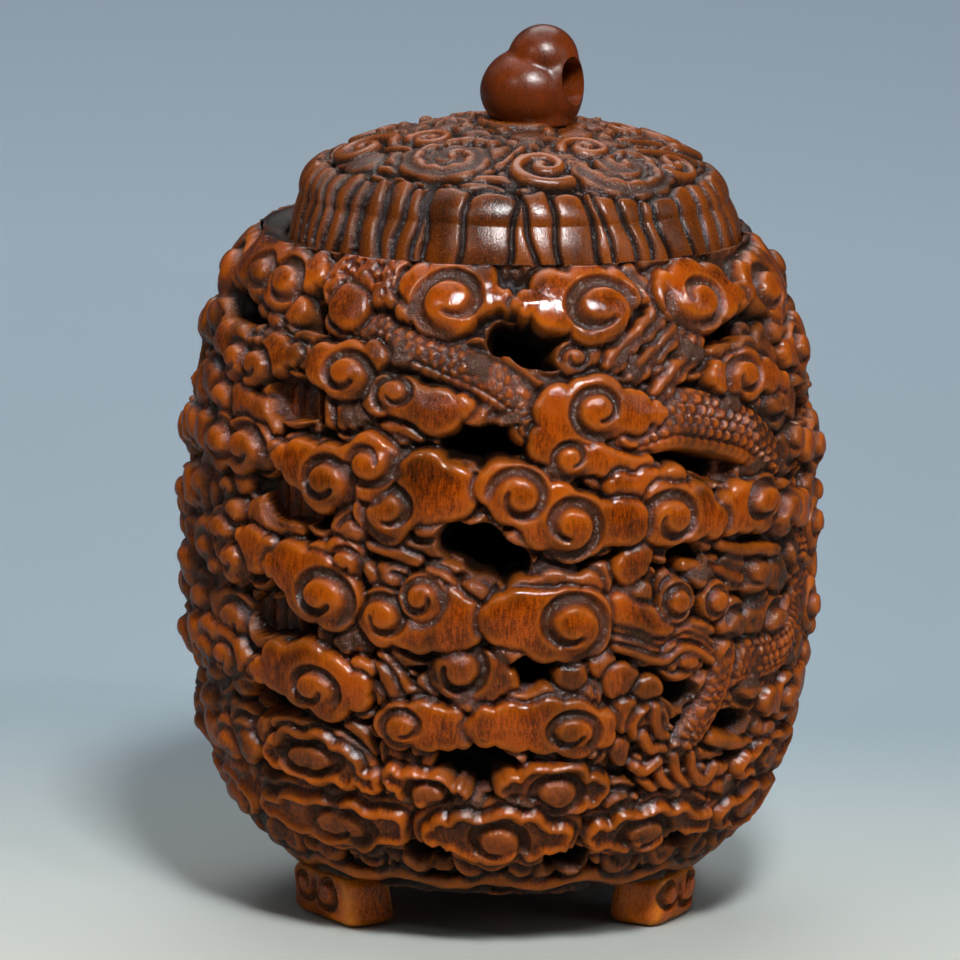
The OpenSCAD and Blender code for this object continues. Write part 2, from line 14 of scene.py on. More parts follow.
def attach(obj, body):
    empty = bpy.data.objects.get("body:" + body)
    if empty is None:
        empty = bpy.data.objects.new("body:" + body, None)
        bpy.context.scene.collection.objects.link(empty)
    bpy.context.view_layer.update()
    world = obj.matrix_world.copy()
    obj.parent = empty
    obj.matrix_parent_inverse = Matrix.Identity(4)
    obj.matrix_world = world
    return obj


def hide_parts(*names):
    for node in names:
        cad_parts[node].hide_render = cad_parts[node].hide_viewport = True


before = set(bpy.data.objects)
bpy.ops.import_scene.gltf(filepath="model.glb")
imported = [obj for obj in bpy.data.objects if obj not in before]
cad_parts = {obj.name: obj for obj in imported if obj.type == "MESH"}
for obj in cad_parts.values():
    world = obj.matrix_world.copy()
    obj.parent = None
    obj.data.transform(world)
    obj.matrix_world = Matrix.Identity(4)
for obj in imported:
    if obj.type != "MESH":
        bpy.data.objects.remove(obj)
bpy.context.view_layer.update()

LOG = logging.getLogger("cricket_cage")
MM = 0.001
Point = Tuple[float, float]
Lobe = Tuple[float, float, float]
Place = Tuple[float, float, float]
Colour = Tuple[int, int, int]
Value = Union[float, Sequence[float], bpy.types.NodeSocket]


class Turn(Enum):
    """The way a carved scroll winds out from its eye."""

    LEFT = 1
    RIGHT = -1
    RING = 0


L = Turn.LEFT
R = Turn.RIGHT
RING = Turn.RING


@dataclass(frozen=True)
class Scroll:
    """A carved scroll: degrees round the wood, mm up it, radius, start, hand and width."""

    angle: float
    height: float
    radius: float
    start: float = -20.0
    turn: Turn = Turn.RIGHT
    stretch: float = 1.3


@dataclass(frozen=True)
class Cloud:
    """A raised cloud: its depth below the skin, its lobes, and how it is finished."""

    level: float
    lobes: Sequence[Lobe]
    scrolls: Sequence[Scroll] = ()
    border: float = 0.0
    skirt: float = 0.0
    pitted: bool = False


@dataclass(frozen=True)
class Fold:
    """A round strand or fold that follows a path."""

    level: float
    width: float
    path: Sequence[Point]


@dataclass(frozen=True)
class Coil:
    """A length of scaly body: its depth, its path with half widths, and its belly side."""

    level: float
    path: Sequence[Lobe]
    belly: float = -1.0


RIM_CLOUDS = (
    Cloud(0.1, ((-19, 64.6, 1.3), (-12, 63.5, 2.9), (-5, 64.2, 1.6), (0.8, 63.6, 0.6)),
          (Scroll(-11.2, 63.3, 1.7, 235, L, 1.25),)),
    Cloud(0.25, ((-20.5, 64.3, 0.8), (-19.8, 62.8, 0.9))),
    Cloud(0.0, ((4.2, 63.2, 0.8), (11, 63.5, 2.3), (19, 63.1, 3.1), (25, 63.8, 1.7)),
          (Scroll(20.5, 62.6, 1.8, -40, R, 1.3),)),
    Cloud(0.05, ((38, 63.6, 1.6), (44, 63.2, 2.8), (51, 63.3, 2.1), (57.5, 62.5, 0.7)),
          (Scroll(43.5, 62.6, 1.5, 200, R, 1.35),)),
    Cloud(0.1, ((59.5, 62.6, 0.7), (66, 62.8, 2), (72, 62.5, 2.8), (80, 63.2, 2)),
          (Scroll(70.5, 62.2, 1.5, -20, R, 1.4),)),
    Cloud(0.15, ((-46, 64.6, 1.3), (-53, 63.6, 2.4), (-62, 64, 2.3), (-72, 64.3, 1.9)),
          (Scroll(-52.5, 63.4, 1.3, 160, L), Scroll(-63, 63.6, 1.2, 200, L))),
    Cloud(0.2, ((-77, 63.2, 1), (-84, 63, 2.5), (-92, 63.8, 1.8)),
          (Scroll(-84.5, 62.8, 1.4, -30, R),)),
    Cloud(0.35, ((-37, 64.4, 1.8), (-32, 65, 1.9), (-27, 65, 1.9), (-23.5, 64.6, 1.5)), pitted=True),
    Cloud(0.35, ((-33.5, 62.3, 1.7),)),
    Cloud(0.6, ((-57, 61.3, 1.1),)),
    Cloud(0.6, ((-52, 60.7, 1.2),)),
    Cloud(0.5, ((-47, 61.5, 1.2),)),
)
SECOND_CLOUDS = (
    Cloud(0.35, ((-41, 57.2, 0.7), (-36, 56.8, 1.8), (-30.5, 56.5, 2.5), (-25.5, 58, 1.2)),
          (Scroll(-30, 56.2, 1.4, -20, R, 1.25),)),
    Cloud(0.5, ((-23, 54.6, 1.7), (-19, 54.6, 1.8), (-12, 53.4, 2), (-7.3, 54, 0.8)),
          (Scroll(-20.3, 54.9, 1.1, 200, L, 1.15),)),
    Cloud(0.3, ((-43.5, 57.3, 0.8), (-49, 57, 1.7), (-54, 56, 2.1), (-61, 56.3, 2.2), (-69, 57, 1.6)),
          (Scroll(-53.5, 55.7, 1.2), Scroll(-60.5, 55.7, 1.2), Scroll(-56, 58, 0.8, stretch=1.2))),
    Cloud(0.15, ((29.3, 53, 0.8), (24.5, 53.3, 1.8), (17.5, 53.8, 3), (11, 53.2, 2.4),
                 (8.8, 50.6, 1.9), (12, 48.9, 1.7), (18, 49, 1.3), (26, 48, 0.8)),
          (Scroll(17.3, 53.5, 1.5, -100, L, 1.15), Scroll(12.2, 49.1, 1.1, -90, L, 1.1))),
    Cloud(0.25, ((45, 55.8, 1.2), (50, 55.7, 1.6), (54, 55.4, 2.1), (60, 54.8, 1.4), (65.5, 54, 0.7)),
          (Scroll(51.5, 55.5, 1.2, 160, L),)),
    Cloud(0.3, ((70, 56.4, 1), (79, 56, 2.4), (87, 57, 1.6)), (Scroll(79, 56, 1.3, -30, R),)),
    Cloud(0.7, ((14, 58.6, 1.4), (17.5, 58.8, 1)), (Scroll(14, 58.6, 0.75, 150, L, 1.2),)),
)
THIRD_CLOUDS = (
    Cloud(0.0, ((-43, 47.6, 0.8), (-38, 47.2, 2), (-32.5, 46.3, 2.8), (-24, 47.9, 2.7)),
          (Scroll(-32, 46, 1.6, -20, R, 1.1), Scroll(-23.8, 48, 1.4, -10, L, 1.1))),
    Cloud(0.05, ((-20.5, 44, 2.9), (-14, 46.2, 3.1), (-9, 45.9, 2.3)),
          (Scroll(-20.2, 43.8, 1.7, 240, L, 1.05),)),
    Cloud(0.2, ((-45.3, 48, 0.7), (-50, 48, 1.9), (-54, 47.8, 2.4), (-62, 47.5, 2.4), (-71, 48, 1.5)),
          (Scroll(-52.8, 47.8, 1.5), Scroll(-62, 47.6, 1.5, 200, L))),
    Cloud(0.5, ((-46.5, 49.9, 0.7), (-51, 51.2, 1.4), (-57, 52.1, 1.7), (-64, 52.2, 1.9), (-72, 53, 1.5)),
          (Scroll(-63.5, 51.8, 1.2),)),
    Cloud(0.0, ((0.5, 46.3, 2.2), (3.5, 45.7, 2.8), (9, 43.8, 2.9), (13, 42.8, 3.1), (22.5, 43, 2)),
          (Scroll(3.3, 45.8, 1.6, 140, L, 1.05), Scroll(12.6, 42.7, 1.8, -90, R, 1.05))),
    Cloud(0.05, ((28.5, 43, 1.8), (31.5, 43.4, 2.9), (36.5, 43.3, 2.5), (41, 42.3, 1.4)),
          (Scroll(31.6, 43.1, 1.6, 150, L, 1.1),)),
    Cloud(0.1, ((21.5, 46.3, 1.1), (27, 46.2, 1.3), (32, 46, 1.5))),
    Cloud(0.1, ((45.5, 42.6, 1.6), (49.5, 43, 2.2), (55, 43, 2.5), (62, 42, 2.3), (71, 41.2, 1.6)),
          (Scroll(54.8, 43.2, 1.4, -10, R, 1.35), Scroll(63.5, 41.6, 1.5, 200, L))),
    Cloud(0.2, ((76, 46.8, 1.2), (84, 46, 2.4), (91, 47, 1.6)), (Scroll(84, 46, 1.4, -30, R),)),
)
FOURTH_CLOUDS = (
    Cloud(0.0, ((-44.8, 37, 0.8), (-40, 37.2, 2.1), (-35, 35.6, 3), (-31, 34.8, 2.7)),
          (Scroll(-32.3, 35, 1.7, -20, R, 1.15),)),
    Cloud(0.05, ((-34, 37.4, 2), (-29, 38.6, 1.7)), (Scroll(-28.2, 38.5, 1, -20, R, 1.1),)),
    Cloud(0.1, ((-21, 33.5, 2.4), (-15, 33.2, 2.7), (-9.5, 33.6, 2.8), (-5.8, 33.8, 1.8)),
          (Scroll(-20.8, 33.7, 1.4, 160, L, 1.1),)),
    Cloud(0.05, ((-13.5, 35.6, 1.8),), (Scroll(-13.8, 35.8, 1.2, 30, R, 1),)),
    Cloud(0.25, ((-46, 38.4, 1), (-50, 38, 2), (-56, 37, 2.4), (-61, 38.8, 2.3), (-69, 37.4, 1.9)),
          (Scroll(-60.3, 39.3, 1.2), Scroll(-56.5, 36.8, 1.2), Scroll(-67, 36.8, 1.1))),
    Cloud(0.8, ((-60, 43.6, 1.4), (-55, 44.4, 1.2)), (Scroll(-60, 43.6, 0.9),)),
    Cloud(0.0, ((0.5, 34, 1.9), (5, 34, 2.8), (9.5, 33.2, 3.1), (13.5, 33.3, 3.3)),
          (Scroll(13.3, 33.3, 2, -40, R, 1.05),)),
    Cloud(0.6, ((4, 36.3, 1.3), (10, 36.9, 1.5), (16, 36.8, 1.4))),
    Cloud(0.3, ((22, 34, 1.7), (25, 32.8, 2.3), (29, 31.6, 2.6), (34, 30.4, 2.3), (39, 30.8, 1.7))),
    Cloud(0.2, ((33.5, 34.9, 1.6),), (Scroll(33.5, 34.9, 1.1, 0, RING, 1),)),
    Cloud(0.2, ((42.5, 34.4, 1.5),), (Scroll(42.5, 34.4, 1.0, 0, RING, 1),)),
    Cloud(0.2, ((33.2, 29.6, 0.9),)),
    Cloud(0.2, ((37, 29.3, 0.9),)),
    Cloud(0.4, ((24, 38.5, 1.5), (26, 39.8, 1))),
    Cloud(0.2, ((84, 38.5, 2.2), (91, 37.5, 1.5)), (Scroll(84, 38.5, 1.2),)),
    Cloud(0.2, ((83, 30.4, 2.2), (90, 31.2, 1.3)), (Scroll(83, 30.4, 1.2),)),
    Cloud(0.2, ((-80, 41.6, 1.8), (-86, 40.6, 2.2)), (Scroll(-86, 40.6, 1.2),)),
    Cloud(0.2, ((-80, 34.5, 2.2), (-88, 33.6, 1.5)), (Scroll(-80, 34.5, 1.2),)),
)
FIFTH_CLOUDS = (
    Cloud(0.0, ((-48.3, 26.6, 0.8), (-43, 27.2, 2.2), (-37, 27, 2.9), (-32, 26.1, 2.9), (-27, 26, 1.7)),
          (Scroll(-34.6, 26, 1.35, 0, R, 1.25),)),
    Cloud(0.2, ((-25.3, 28, 0.9),)),
    Cloud(0.7, ((-7.5, 28.8, 2.7), (-2, 28, 2.3), (0.8, 27.6, 1.5)),
          (Scroll(-7.2, 29, 1.8, 150, L, 1.05),)),
    Cloud(0.05, ((-18.3, 23, 1.9), (-13, 23.2, 2.1), (-8.5, 22.9, 1.7), (-6.3, 22.7, 1.2)),
          (Scroll(-17.3, 23, 1.2, 250, L, 1.2),)),
    Cloud(0.05, ((-2, 23.3, 1.6), (3, 23.4, 2.1), (9, 23.5, 2.4), (14, 23.1, 2.5), (18.5, 23, 1.6)),
          (Scroll(13.7, 23, 1.3, -10, R, 1.25),)),
    Cloud(0.5, ((3, 25.4, 0.9), (9, 26, 1.1), (15, 26.2, 1.1))),
    Cloud(0.5, ((13.3, 28.4, 1.3),)),
    Cloud(0.5, ((19.5, 29.4, 1.1),)),
    Cloud(0.5, ((23.3, 27.5, 1.6),)),
    Cloud(0.5, ((28.4, 26.4, 1.3),)),
    Cloud(0.3, ((24.5, 24, 1.3),)),
    Cloud(0.3, ((29, 23, 1.8),), border=0.3),
    Cloud(0.25, ((-55, 27.4, 1.1), (-60, 27.4, 2.2), (-68, 28, 2)),
          (Scroll(-59.5, 27, 1.1), Scroll(-67.5, 27, 1.1))),
    Cloud(0.25, ((-76, 28, 1.3), (-84, 27, 2.2)), (Scroll(-84, 27, 1.2),)),
    Cloud(0.25, ((62, 22.8, 1.3), (70, 22.6, 2.2), (79, 23.2, 1.8)), (Scroll(70, 22.6, 1.2),)),
)
SIXTH_CLOUDS = (
    Cloud(0.15, ((-46.5, 18.4, 1.2), (-41, 18.8, 2.3), (-36, 18.7, 2.6), (-30, 18.2, 2), (-25, 17, 0.9)),
          (Scroll(-37.8, 18.6, 1.15, 0, RING, 2.2),), border=0.3),
    Cloud(0.2, ((-20, 17.6, 0.9), (-15.5, 16.6, 1.7), (-11.5, 16.2, 1.9), (-7.2, 16.2, 0.9)),
          (Scroll(-13.2, 16, 1.2, 0, RING),), border=0.3),
    Cloud(0.1, ((3.5, 17, 1.4), (8, 17.2, 2.2), (13, 16.8, 2.7), (18.5, 16.8, 1.4)),
          (Scroll(11.8, 16.5, 1.35, 0, RING),), border=0.3),
    Cloud(0.2, ((57, 16.8, 1.1), (63, 17.2, 1.8), (69, 17, 2), (77, 17.4, 1.4)),
          (Scroll(67, 16.8, 1.2, -20, R, 1.4),), border=0.3),
    Cloud(0.2, ((-56, 18, 1.3), (-64, 18.2, 1.9), (-72, 18.2, 1.7)), (Scroll(-63, 18, 1.1),)),
    Cloud(0.2, ((-80, 18, 1.8), (-88, 18.4, 1.6)), (Scroll(-81, 18, 1.1),)),
)
SEVENTH_CLOUDS = (
    Cloud(0.2, ((-54, 12.4, 1.2), (-46, 12.2, 2), (-38, 12, 2.4), (-30, 12, 2.4), (-22, 12.2, 1.7)),
          (Scroll(-34.5, 11.8, 1.3, -20, R, 1.9),), border=0.3, skirt=1.0),
    Cloud(0.1, ((-11, 12, 1.6), (-5, 12, 2.3), (1, 11.9, 2.7), (7, 11.8, 2.2), (12.5, 11.6, 1.4)),
          (Scroll(0.6, 11.2, 1.6, -60, R, 1.2),), border=0.3, skirt=1.0),
    Cloud(0.2, ((22, 11.6, 1.3), (28, 11.9, 2), (34, 12, 2.2), (41, 12, 1.7), (49, 11.6, 0.9)),
          (Scroll(33, 11.3, 1.3, -30, R, 1.5),), border=0.3, skirt=0.8),
    Cloud(0.2, ((57, 11.8, 1.3), (65, 11.9, 2.2), (74, 12, 1.6)),
          (Scroll(66, 11.6, 1.3, -30, R, 1.5),), border=0.3, skirt=0.8),
    Cloud(0.2, ((-64, 12, 1.4), (-72, 11.9, 2.2), (-82, 12.2, 1.6)),
          (Scroll(-72, 11.7, 1.3, -30, R, 1.5),), border=0.3, skirt=0.8),
    Cloud(0.2, ((83, 11.8, 1.3), (90, 11.8, 2)), (Scroll(89, 11.6, 1.2, -30, R, 1.4),), border=0.3),
)
CLOUDS = (RIM_CLOUDS + SECOND_CLOUDS + THIRD_CLOUDS + FOURTH_CLOUDS
          + FIFTH_CLOUDS + SIXTH_CLOUDS + SEVENTH_CLOUDS)

FOLDS = (
    Fold(0.3, 0.5, ((-21, 65.6), (-15, 66.2), (-9, 66.1), (-4, 65.2))),
    Fold(0.35, 1.1, ((29.5, 65.2), (33, 63.6), (33, 62), (29, 60.6), (24.5, 59.4), (21, 57.6))),
    Fold(0.45, 1.1, ((35, 64.4), (38.4, 62.6), (38, 61), (34, 59.6), (29.5, 58.2), (25.5, 56.6))),
    Fold(0.55, 1.15, ((41.5, 61.4), (41.5, 59.4), (38.5, 57.8), (34.5, 56.4), (30.5, 54.6))),
    Fold(0.8, 0.8, ((-33.8, 54.2), (-33.2, 51.6))),
    Fold(0.7, 0.9, ((-31, 54), (-30.4, 51.6))),
    Fold(0.8, 1.0, ((-26.8, 53.8), (-25.2, 51.4))),
    Fold(0.9, 0.8, ((-23, 51.4), (-19, 51.6), (-15, 50.9))),
    Fold(0.4, 0.7, ((-26, 38.4), (-23.5, 37.6), (-22, 36), (-20, 35.2))),
    Fold(0.7, 0.7, ((-24, 40.2), (-19, 39.6), (-15, 39))),
    Fold(0.15, 0.6, ((-12.5, 38), (-10, 37.6), (-7.5, 36.4), (-5, 35.2))),
    Fold(0.8, 0.7, ((-26.5, 33.5), (-25.5, 31.5), (-25.6, 29.8))),
    Fold(0.8, 0.8, ((-30, 33), (-29, 30.8))),
    Fold(0.4, 0.7, ((-24.5, 28.6), (-21.5, 28.2), (-19.5, 26.6), (-18.6, 25.2))),
    Fold(0.6, 0.6, ((-21.5, 29.8), (-18.5, 28), (-16.5, 26.6), (-14.4, 25.9))),
    Fold(0.6, 0.8, ((-23, 26.6), (-21.4, 25))),
    Fold(0.15, 0.6, ((-15, 25.4), (-12, 25.2), (-9, 24.2), (-6.2, 23.8))),
    Fold(0.7, 0.8, ((-29, 22.6), (-26, 21.4), (-24.6, 19.6))),
    Fold(0.8, 0.8, ((-20, 21.4), (-19.4, 19.4))),
    Fold(0.8, 0.7, ((-12.6, 20.6), (-13.4, 18.6))),
    Fold(0.3, 0.6, ((-46, 21.4), (-40, 21.9), (-33, 21.4), (-27, 19.9), (-24, 18), (-22, 16))),
    Fold(0.4, 0.6, ((-28, 15.2), (-22, 14.6), (-17, 14.2), (-14.4, 12.8), (-15.4, 11.4))),
    Fold(0.6, 0.5, ((-27, 14.2), (-21.5, 13.8), (-18, 13.2), (-16.6, 12))),
    Fold(0.4, 0.6, ((12.5, 14.6), (14.4, 13.2), (16.4, 12), (16, 10.4))),
    Fold(0.5, 0.6, ((16, 12.4), (21, 13), (25, 14.2), (29, 15))),
    Fold(0.5, 0.5, ((10, 12.8), (12.4, 11.8), (12, 10.6))),
    Fold(0.3, 0.7, ((30.5, 30.6), (31.6, 28.6), (35, 27.6), (39, 28.4), (42, 30))),
    Fold(0.7, 0.8, ((44, 39.8), (49, 38.8), (55, 38.4), (62, 37.8))),
    Fold(0.9, 0.8, ((36, 38), (43, 37.2), (50, 36))),
    Fold(0.5, 0.7, ((45, 20.4), (52, 19.4), (58, 18.8))),
    Fold(0.4, 0.6, ((41, 14.8), (46, 14), (51, 12.6), (54, 11.6))),
    Fold(0.7, 0.8, ((50, 15), (56, 14.2), (62, 13.8))),
)
TUFT = ((21.5, 33.2), (25, 32.6), (28.5, 31.8), (31.5, 31.6), (35, 32.6), (38.5, 32.2), (42, 31))
HAIR = ((28, 19.3), (30, 17), (34, 16), (36, 17.3))
COILS = (
    Coil(0.55, ((-36, 61.5, 1.9), (-28, 60.5, 2.1), (-20, 59.5, 2.1), (-12, 58.3, 2.1), (-4, 56.8, 2.1),
                (3, 54.5, 2.0), (5, 52, 1.8))),
    Coil(0.3, ((24, 51, 2.4), (33, 52.3, 3.0), (42, 51.5, 3.0), (51, 50, 2.9), (59, 47, 2.4))),
    Coil(0.35, ((72, 38.5, 2.3), (76, 33, 2.4), (70, 28.5, 2.4), (60, 27.5, 2.3), (50, 27.5, 2.2),
                (44, 25.5, 2.0), (41, 22.5, 1.7)), 1.0),
    Coil(0.25, ((46, 29, 1.8), (44, 25, 1.8), (38, 20.5, 1.7), (30, 19, 1.3)), 1.0),
)
CLAWS = (
    ((30, 24.6), (31, 22.4), (33, 21.4)),
    ((28, 21.8), (30, 20.4), (32.5, 20.2)),
    ((27.5, 18.6), (29.5, 18.2), (32, 19)),
)
HOLES = (
    ((0, 60.6, 1.3), (5, 60.2, 1.9), (9, 59.4, 1.4)),
    ((-8, 50.6, 1.3), (-2, 50.2, 1.7), (3, 50.8, 1.2)),
    ((-8, 41.2, 1.2), (-3, 40.4, 2), (2, 38.8, 1.6)),
    ((5, 28.6, 1.2), (9, 28.6, 0.9)),
    ((-9, 19.6, 1.3), (-3, 18.9, 2.3), (1.5, 18.4, 1.6)),
    ((-18, 9.3, 0.9), (-12, 9.4, 1)),
    ((14, 9.1, 1), (19, 8.9, 0.9)),
    ((-39, 61.3, 1.2), (-42.5, 61.4, 1)),
    ((-37.6, 54.6, 0.9), (-36.4, 52.4, 0.8)),
    ((-36, 44.4, 0.8), (-34.4, 42.2, 0.8)),
    ((-37.5, 31.2, 1.1), (-40, 31.6, 1)),
    ((-43, 24, 1.2), (-50, 23.2, 1.1)),
    ((-47, 16.4, 1), (-51, 16.6, 0.8)),
    ((-45, 10, 0.8),),
    ((-60, 60.6, 1), (-66, 60.8, 1.1), (-74, 60.6, 0.9)),
    ((42, 60.1, 0.9), (48, 60.3, 1), (55, 60.5, 0.6)),
    ((32, 48.9, 0.5), (38, 48.2, 1), (44, 47, 0.7)),
    ((34.5, 39, 1.1), (37.5, 38.8, 0.9)),
    ((33, 26.6, 0.9), (36, 25.6, 1)),
    ((47, 21.8, 0.7), (53, 21.5, 0.8)),
    ((42, 9.9, 0.8), (47, 9.6, 0.6)),
    ((74, 51, 1.4), (80, 50.5, 1.2)),
    ((-92, 53.4, 1.3), (-88, 53.4, 1.3)),
    ((-92, 43.6, 1.2), (-88, 43.6, 1.2)),
    ((-92, 33.6, 1.2), (-88, 33.6, 1.2)),
    ((-92, 24, 1.1), (-88, 24, 1.1)),
)
RECESSES = (
    ((-39, 53.4, 1.9), (-45, 53.2, 2.1)),
    ((-38, 43.4, 1.9), (-44.5, 43.4, 2.0)),
    ((-41, 32, 1.7), (-49, 31.8, 1.9)),
    ((-44, 23.8, 1.4), (-50, 23.2, 1.5)),
    ((-45, 61.2, 1.4), (-40, 61.4, 1.4)),
    ((44, 60.2, 1.5), (51, 60.4, 1.4)),
    ((40, 47.4, 1.3), (47, 46.8, 1.2)),
)
DOME_CLOUDS = (
    Cloud(0.0, ((-46, 12.6, 2.2), (-28, 14.4, 3.6), (-10, 15.6, 2.2)),
          (Scroll(-27, 14.2, 2.6, 200, R, 1.1),)),
    Cloud(0.15, ((-2, 11.6, 1.4), (9, 12.9, 2.3), (19, 11.4, 1.6)), (Scroll(9.5, 13, 1.6, 160, L, 1.1),)),
    Cloud(0.0, ((27, 10.4, 1.8), (42, 11.9, 3.2), (56, 12.6, 2)), (Scroll(42, 12.6, 2.5, -30, R, 1.1),)),
    Cloud(0.1, ((20, 16.6, 1.6), (34, 16.4, 2.2), (52, 16.8, 1.5)), (Scroll(34, 16.4, 1.3, 30, L, 1.1),)),
    Cloud(0.1, ((64, 11, 2.1), (74, 11.6, 1.6)), (Scroll(65, 11, 1.2, -30, R, 1.1),)),
    Cloud(0.1, ((-62, 11, 1.8), (-72, 11.6, 2.4), (-84, 12.8, 2.6)),
          (Scroll(-76, 12.4, 1.8, 200, R, 1.1),)),
    Cloud(0.15, ((-64, 16.4, 1.7), (-50, 17.4, 2.0), (-30, 18.6, 1.4)),
          (Scroll(-52, 17.3, 1.2, 60, L, 1.1),)),
    Cloud(0.0, ((92, 11.4, 2.0), (106, 13, 3.2), (122, 13.6, 2)), (Scroll(106, 13, 2.0, -30, R, 1.1),)),
    Cloud(0.1, ((84, 16.4, 1.6), (100, 17.4, 1.8)), (Scroll(98, 17.4, 1.1, 30, L, 1.1),)),
    Cloud(0.1, ((118, 9, 1.8), (130, 9.6, 1.6)), (Scroll(118, 9, 1.1, -30, R, 1.1),)),
    Cloud(0.0, ((138, 11.6, 2.0), (152, 13.6, 3.3), (170, 14.6, 2)),
          (Scroll(152, 13.5, 2.1, 200, R, 1.1),)),
    Cloud(0.1, ((162, 9, 1.7), (174, 9.6, 1.9), (186, 9, 1.4)), (Scroll(174, 9.6, 1.1, 20, L, 1.2),)),
    Cloud(0.0, ((190, 12, 2.0), (204, 13, 3.0), (218, 12, 1.8)), (Scroll(204, 13, 1.9, -30, R, 1.1),)),
    Cloud(0.1, ((196, 17.2, 1.6), (212, 17.6, 1.8)), (Scroll(206, 17.4, 1.1, 30, L, 1.1),)),
    Cloud(0.1, ((228, 9.4, 1.8), (240, 11, 2.4), (252, 12.4, 2)), (Scroll(241, 11.2, 1.5, 200, R, 1.1),)),
)
DOME_FOLDS = (
    Fold(0.2, 0.55, ((-50, 10.6), (-40, 10.9), (-30, 10.6), (-20, 11), (-12, 12), (-6, 14.2))),
    Fold(0.3, 0.5, ((-16, 13.2), (-6, 13.6), (-2, 15.8), (2, 17.6))),
    Fold(0.3, 0.5, ((2, 15.6), (10, 16), (16, 14.4), (26, 13.4))),
    Fold(0.3, 0.5, ((56, 15.2), (68, 14), (78, 12.6), (84, 10.4))),
    Fold(0.3, 0.5, ((-18, 10.8), (-6, 10.9), (6, 10.6), (20, 10.7))),
    Fold(0.3, 0.5, ((-66, 14.2), (-58, 14.8), (-48, 15.4), (-42, 17))),
    Fold(0.3, 0.5, ((66, 17.4), (74, 16.4), (86, 14.4), (96, 10.2))),
    Fold(0.3, 0.5, ((112, 16.8), (124, 16), (134, 14), (142, 9.6))),
    Fold(0.3, 0.5, ((170, 17.4), (182, 16.4), (188, 14.4), (194, 9.8))),
    Fold(0.3, 0.5, ((216, 15.6), (226, 14), (236, 14), (248, 15.6))),
)
PLEAT_EDGES = (
    -81, -75, -69, -64, -59, -53, -46.5, -38.5, -33, -27.5, -25, -14.5, -1.5, 4, 10.5, 21, 25, 31.5,
    36.5, 41.5, 50.5, 58, 66, 75, 85, 96, 108, 120, 131, 143, 154, 165, 176, 187, 198, 209, 220,
    232, 243, 255, 264, 272,
)


def linear(colour: Colour) -> Tuple[float, float, float, float]:
    """A colour of 0 to 255 steps as the linear value a shader socket takes."""
    parts = [value / 255 for value in colour]
    return tuple(p / 12.92 if p <= 0.04045 else ((p + 0.055) / 1.055) ** 2.4 for p in parts) + (1.0,)


def blur(values: np.ndarray, rows: float, columns: float) -> np.ndarray:
    """Smooth a map that closes on itself round the wood.

    Args:
        values: The map, rows up the wood and columns round it.
        rows: How far it is smoothed up the wood, in cells.
        columns: How far it is smoothed round the wood, in cells.

    Returns:
        The smoothed map.
    """
    tall = np.concatenate([values, values[::-1]], axis=0)
    up = np.fft.fftfreq(tall.shape[0])[:, None] * rows
    around = np.fft.rfftfreq(tall.shape[1])[None, :] * columns
    window = np.exp(-2 * math.pi**2 * (up**2 + around**2))
    return np.fft.irfft2(np.fft.rfft2(tall) * window, tall.shape)[: values.shape[0]]


def smooth_path(points: Sequence[Sequence[float]], pieces: int = 6) -> np.ndarray:
    """Round a drawn path off.

    Args:
        points: The points that the path goes through.
        pieces: How many straight pieces each span becomes.

    Returns:
        The points of the rounded path, one row each.
    """
    drawn = np.array(points, dtype=float)
    padded = np.vstack([2 * drawn[0] - drawn[1], drawn, 2 * drawn[-1] - drawn[-2]])
    out = []
    for before, start, end, after in zip(padded, padded[1:], padded[2:], padded[3:]):
        for share in np.arange(pieces) / pieces:
            square = share * share
            cube = square * share
            out.append(0.5 * (2 * start + (end - before) * share
                              + (2 * before - 5 * start + 4 * end - after) * square
                              + (3 * start - before - 3 * end + after) * cube))
    out.append(drawn[-1])
    return np.array(out)


def ease(value: np.ndarray) -> np.ndarray:
    """A smooth step from 0 to 1."""
    held = np.clip(value, 0, 1)
    return held * held * (3 - 2 * held)


def scroll_cut(x: np.ndarray, y: np.ndarray, radius: float, start: float,
               turn: Turn) -> Tuple[np.ndarray, np.ndarray]:
    """The relief of one carved scroll: a gouge that widens as it winds out from its eye.

    Args:
        x: Distance across from the eye, in mm.
        y: Distance up from the eye, in mm.
        radius: Radius of the eye, in mm.
        start: Where the gouge starts, in degrees.
        turn: The way it winds.

    Returns:
        The change of height in mm, and how much of each place the gouge takes, from 0 to 1.
    """
    reach = np.hypot(x, y)
    depth = min(0.85, 0.3 + 0.28 * radius)
    boss = 0.4 * radius * np.sqrt(np.clip(1 - (reach / (1.15 * radius)) ** 2, 0, 1))
    cut = np.zeros_like(reach)
    if turn is Turn.RING:
        laps = ((np.full_like(reach, 0.5), np.ones_like(reach)),)
    else:
        swept = np.mod(turn.value * (np.arctan2(y, x) - math.radians(start)), 2 * math.pi) / (2 * math.pi)
        laps = tuple((swept + lap, ease((swept + lap) / 0.1) * ease((1.2 - swept - lap) / 0.14))
                     for lap in (0, 1))
    for along, fade in laps:
        middle = radius * (0.6 + 0.72 * ease(along / 0.5) + 0.4 * ease((along - 0.75) / 0.45))
        half = radius * (0.14 + 0.25 * ease(along / 0.4))
        gouge = np.clip(1 - ((reach - middle) / half) ** 2, 0, 1) ** 0.8
        cut = np.maximum(cut, fade * gouge)
    return boss - depth * cut, cut


@dataclass
class Patch:
    """The part of a map that one stroke touches, with its distances in mm."""

    rows: slice
    columns: np.ndarray
    x: np.ndarray
    y: np.ndarray
    middle: float
    radius: float

    def local(self, angle: float, height: float) -> Point:
        """A drawn place as distances in mm on this patch."""
        return math.radians(angle - self.middle) * self.radius, height


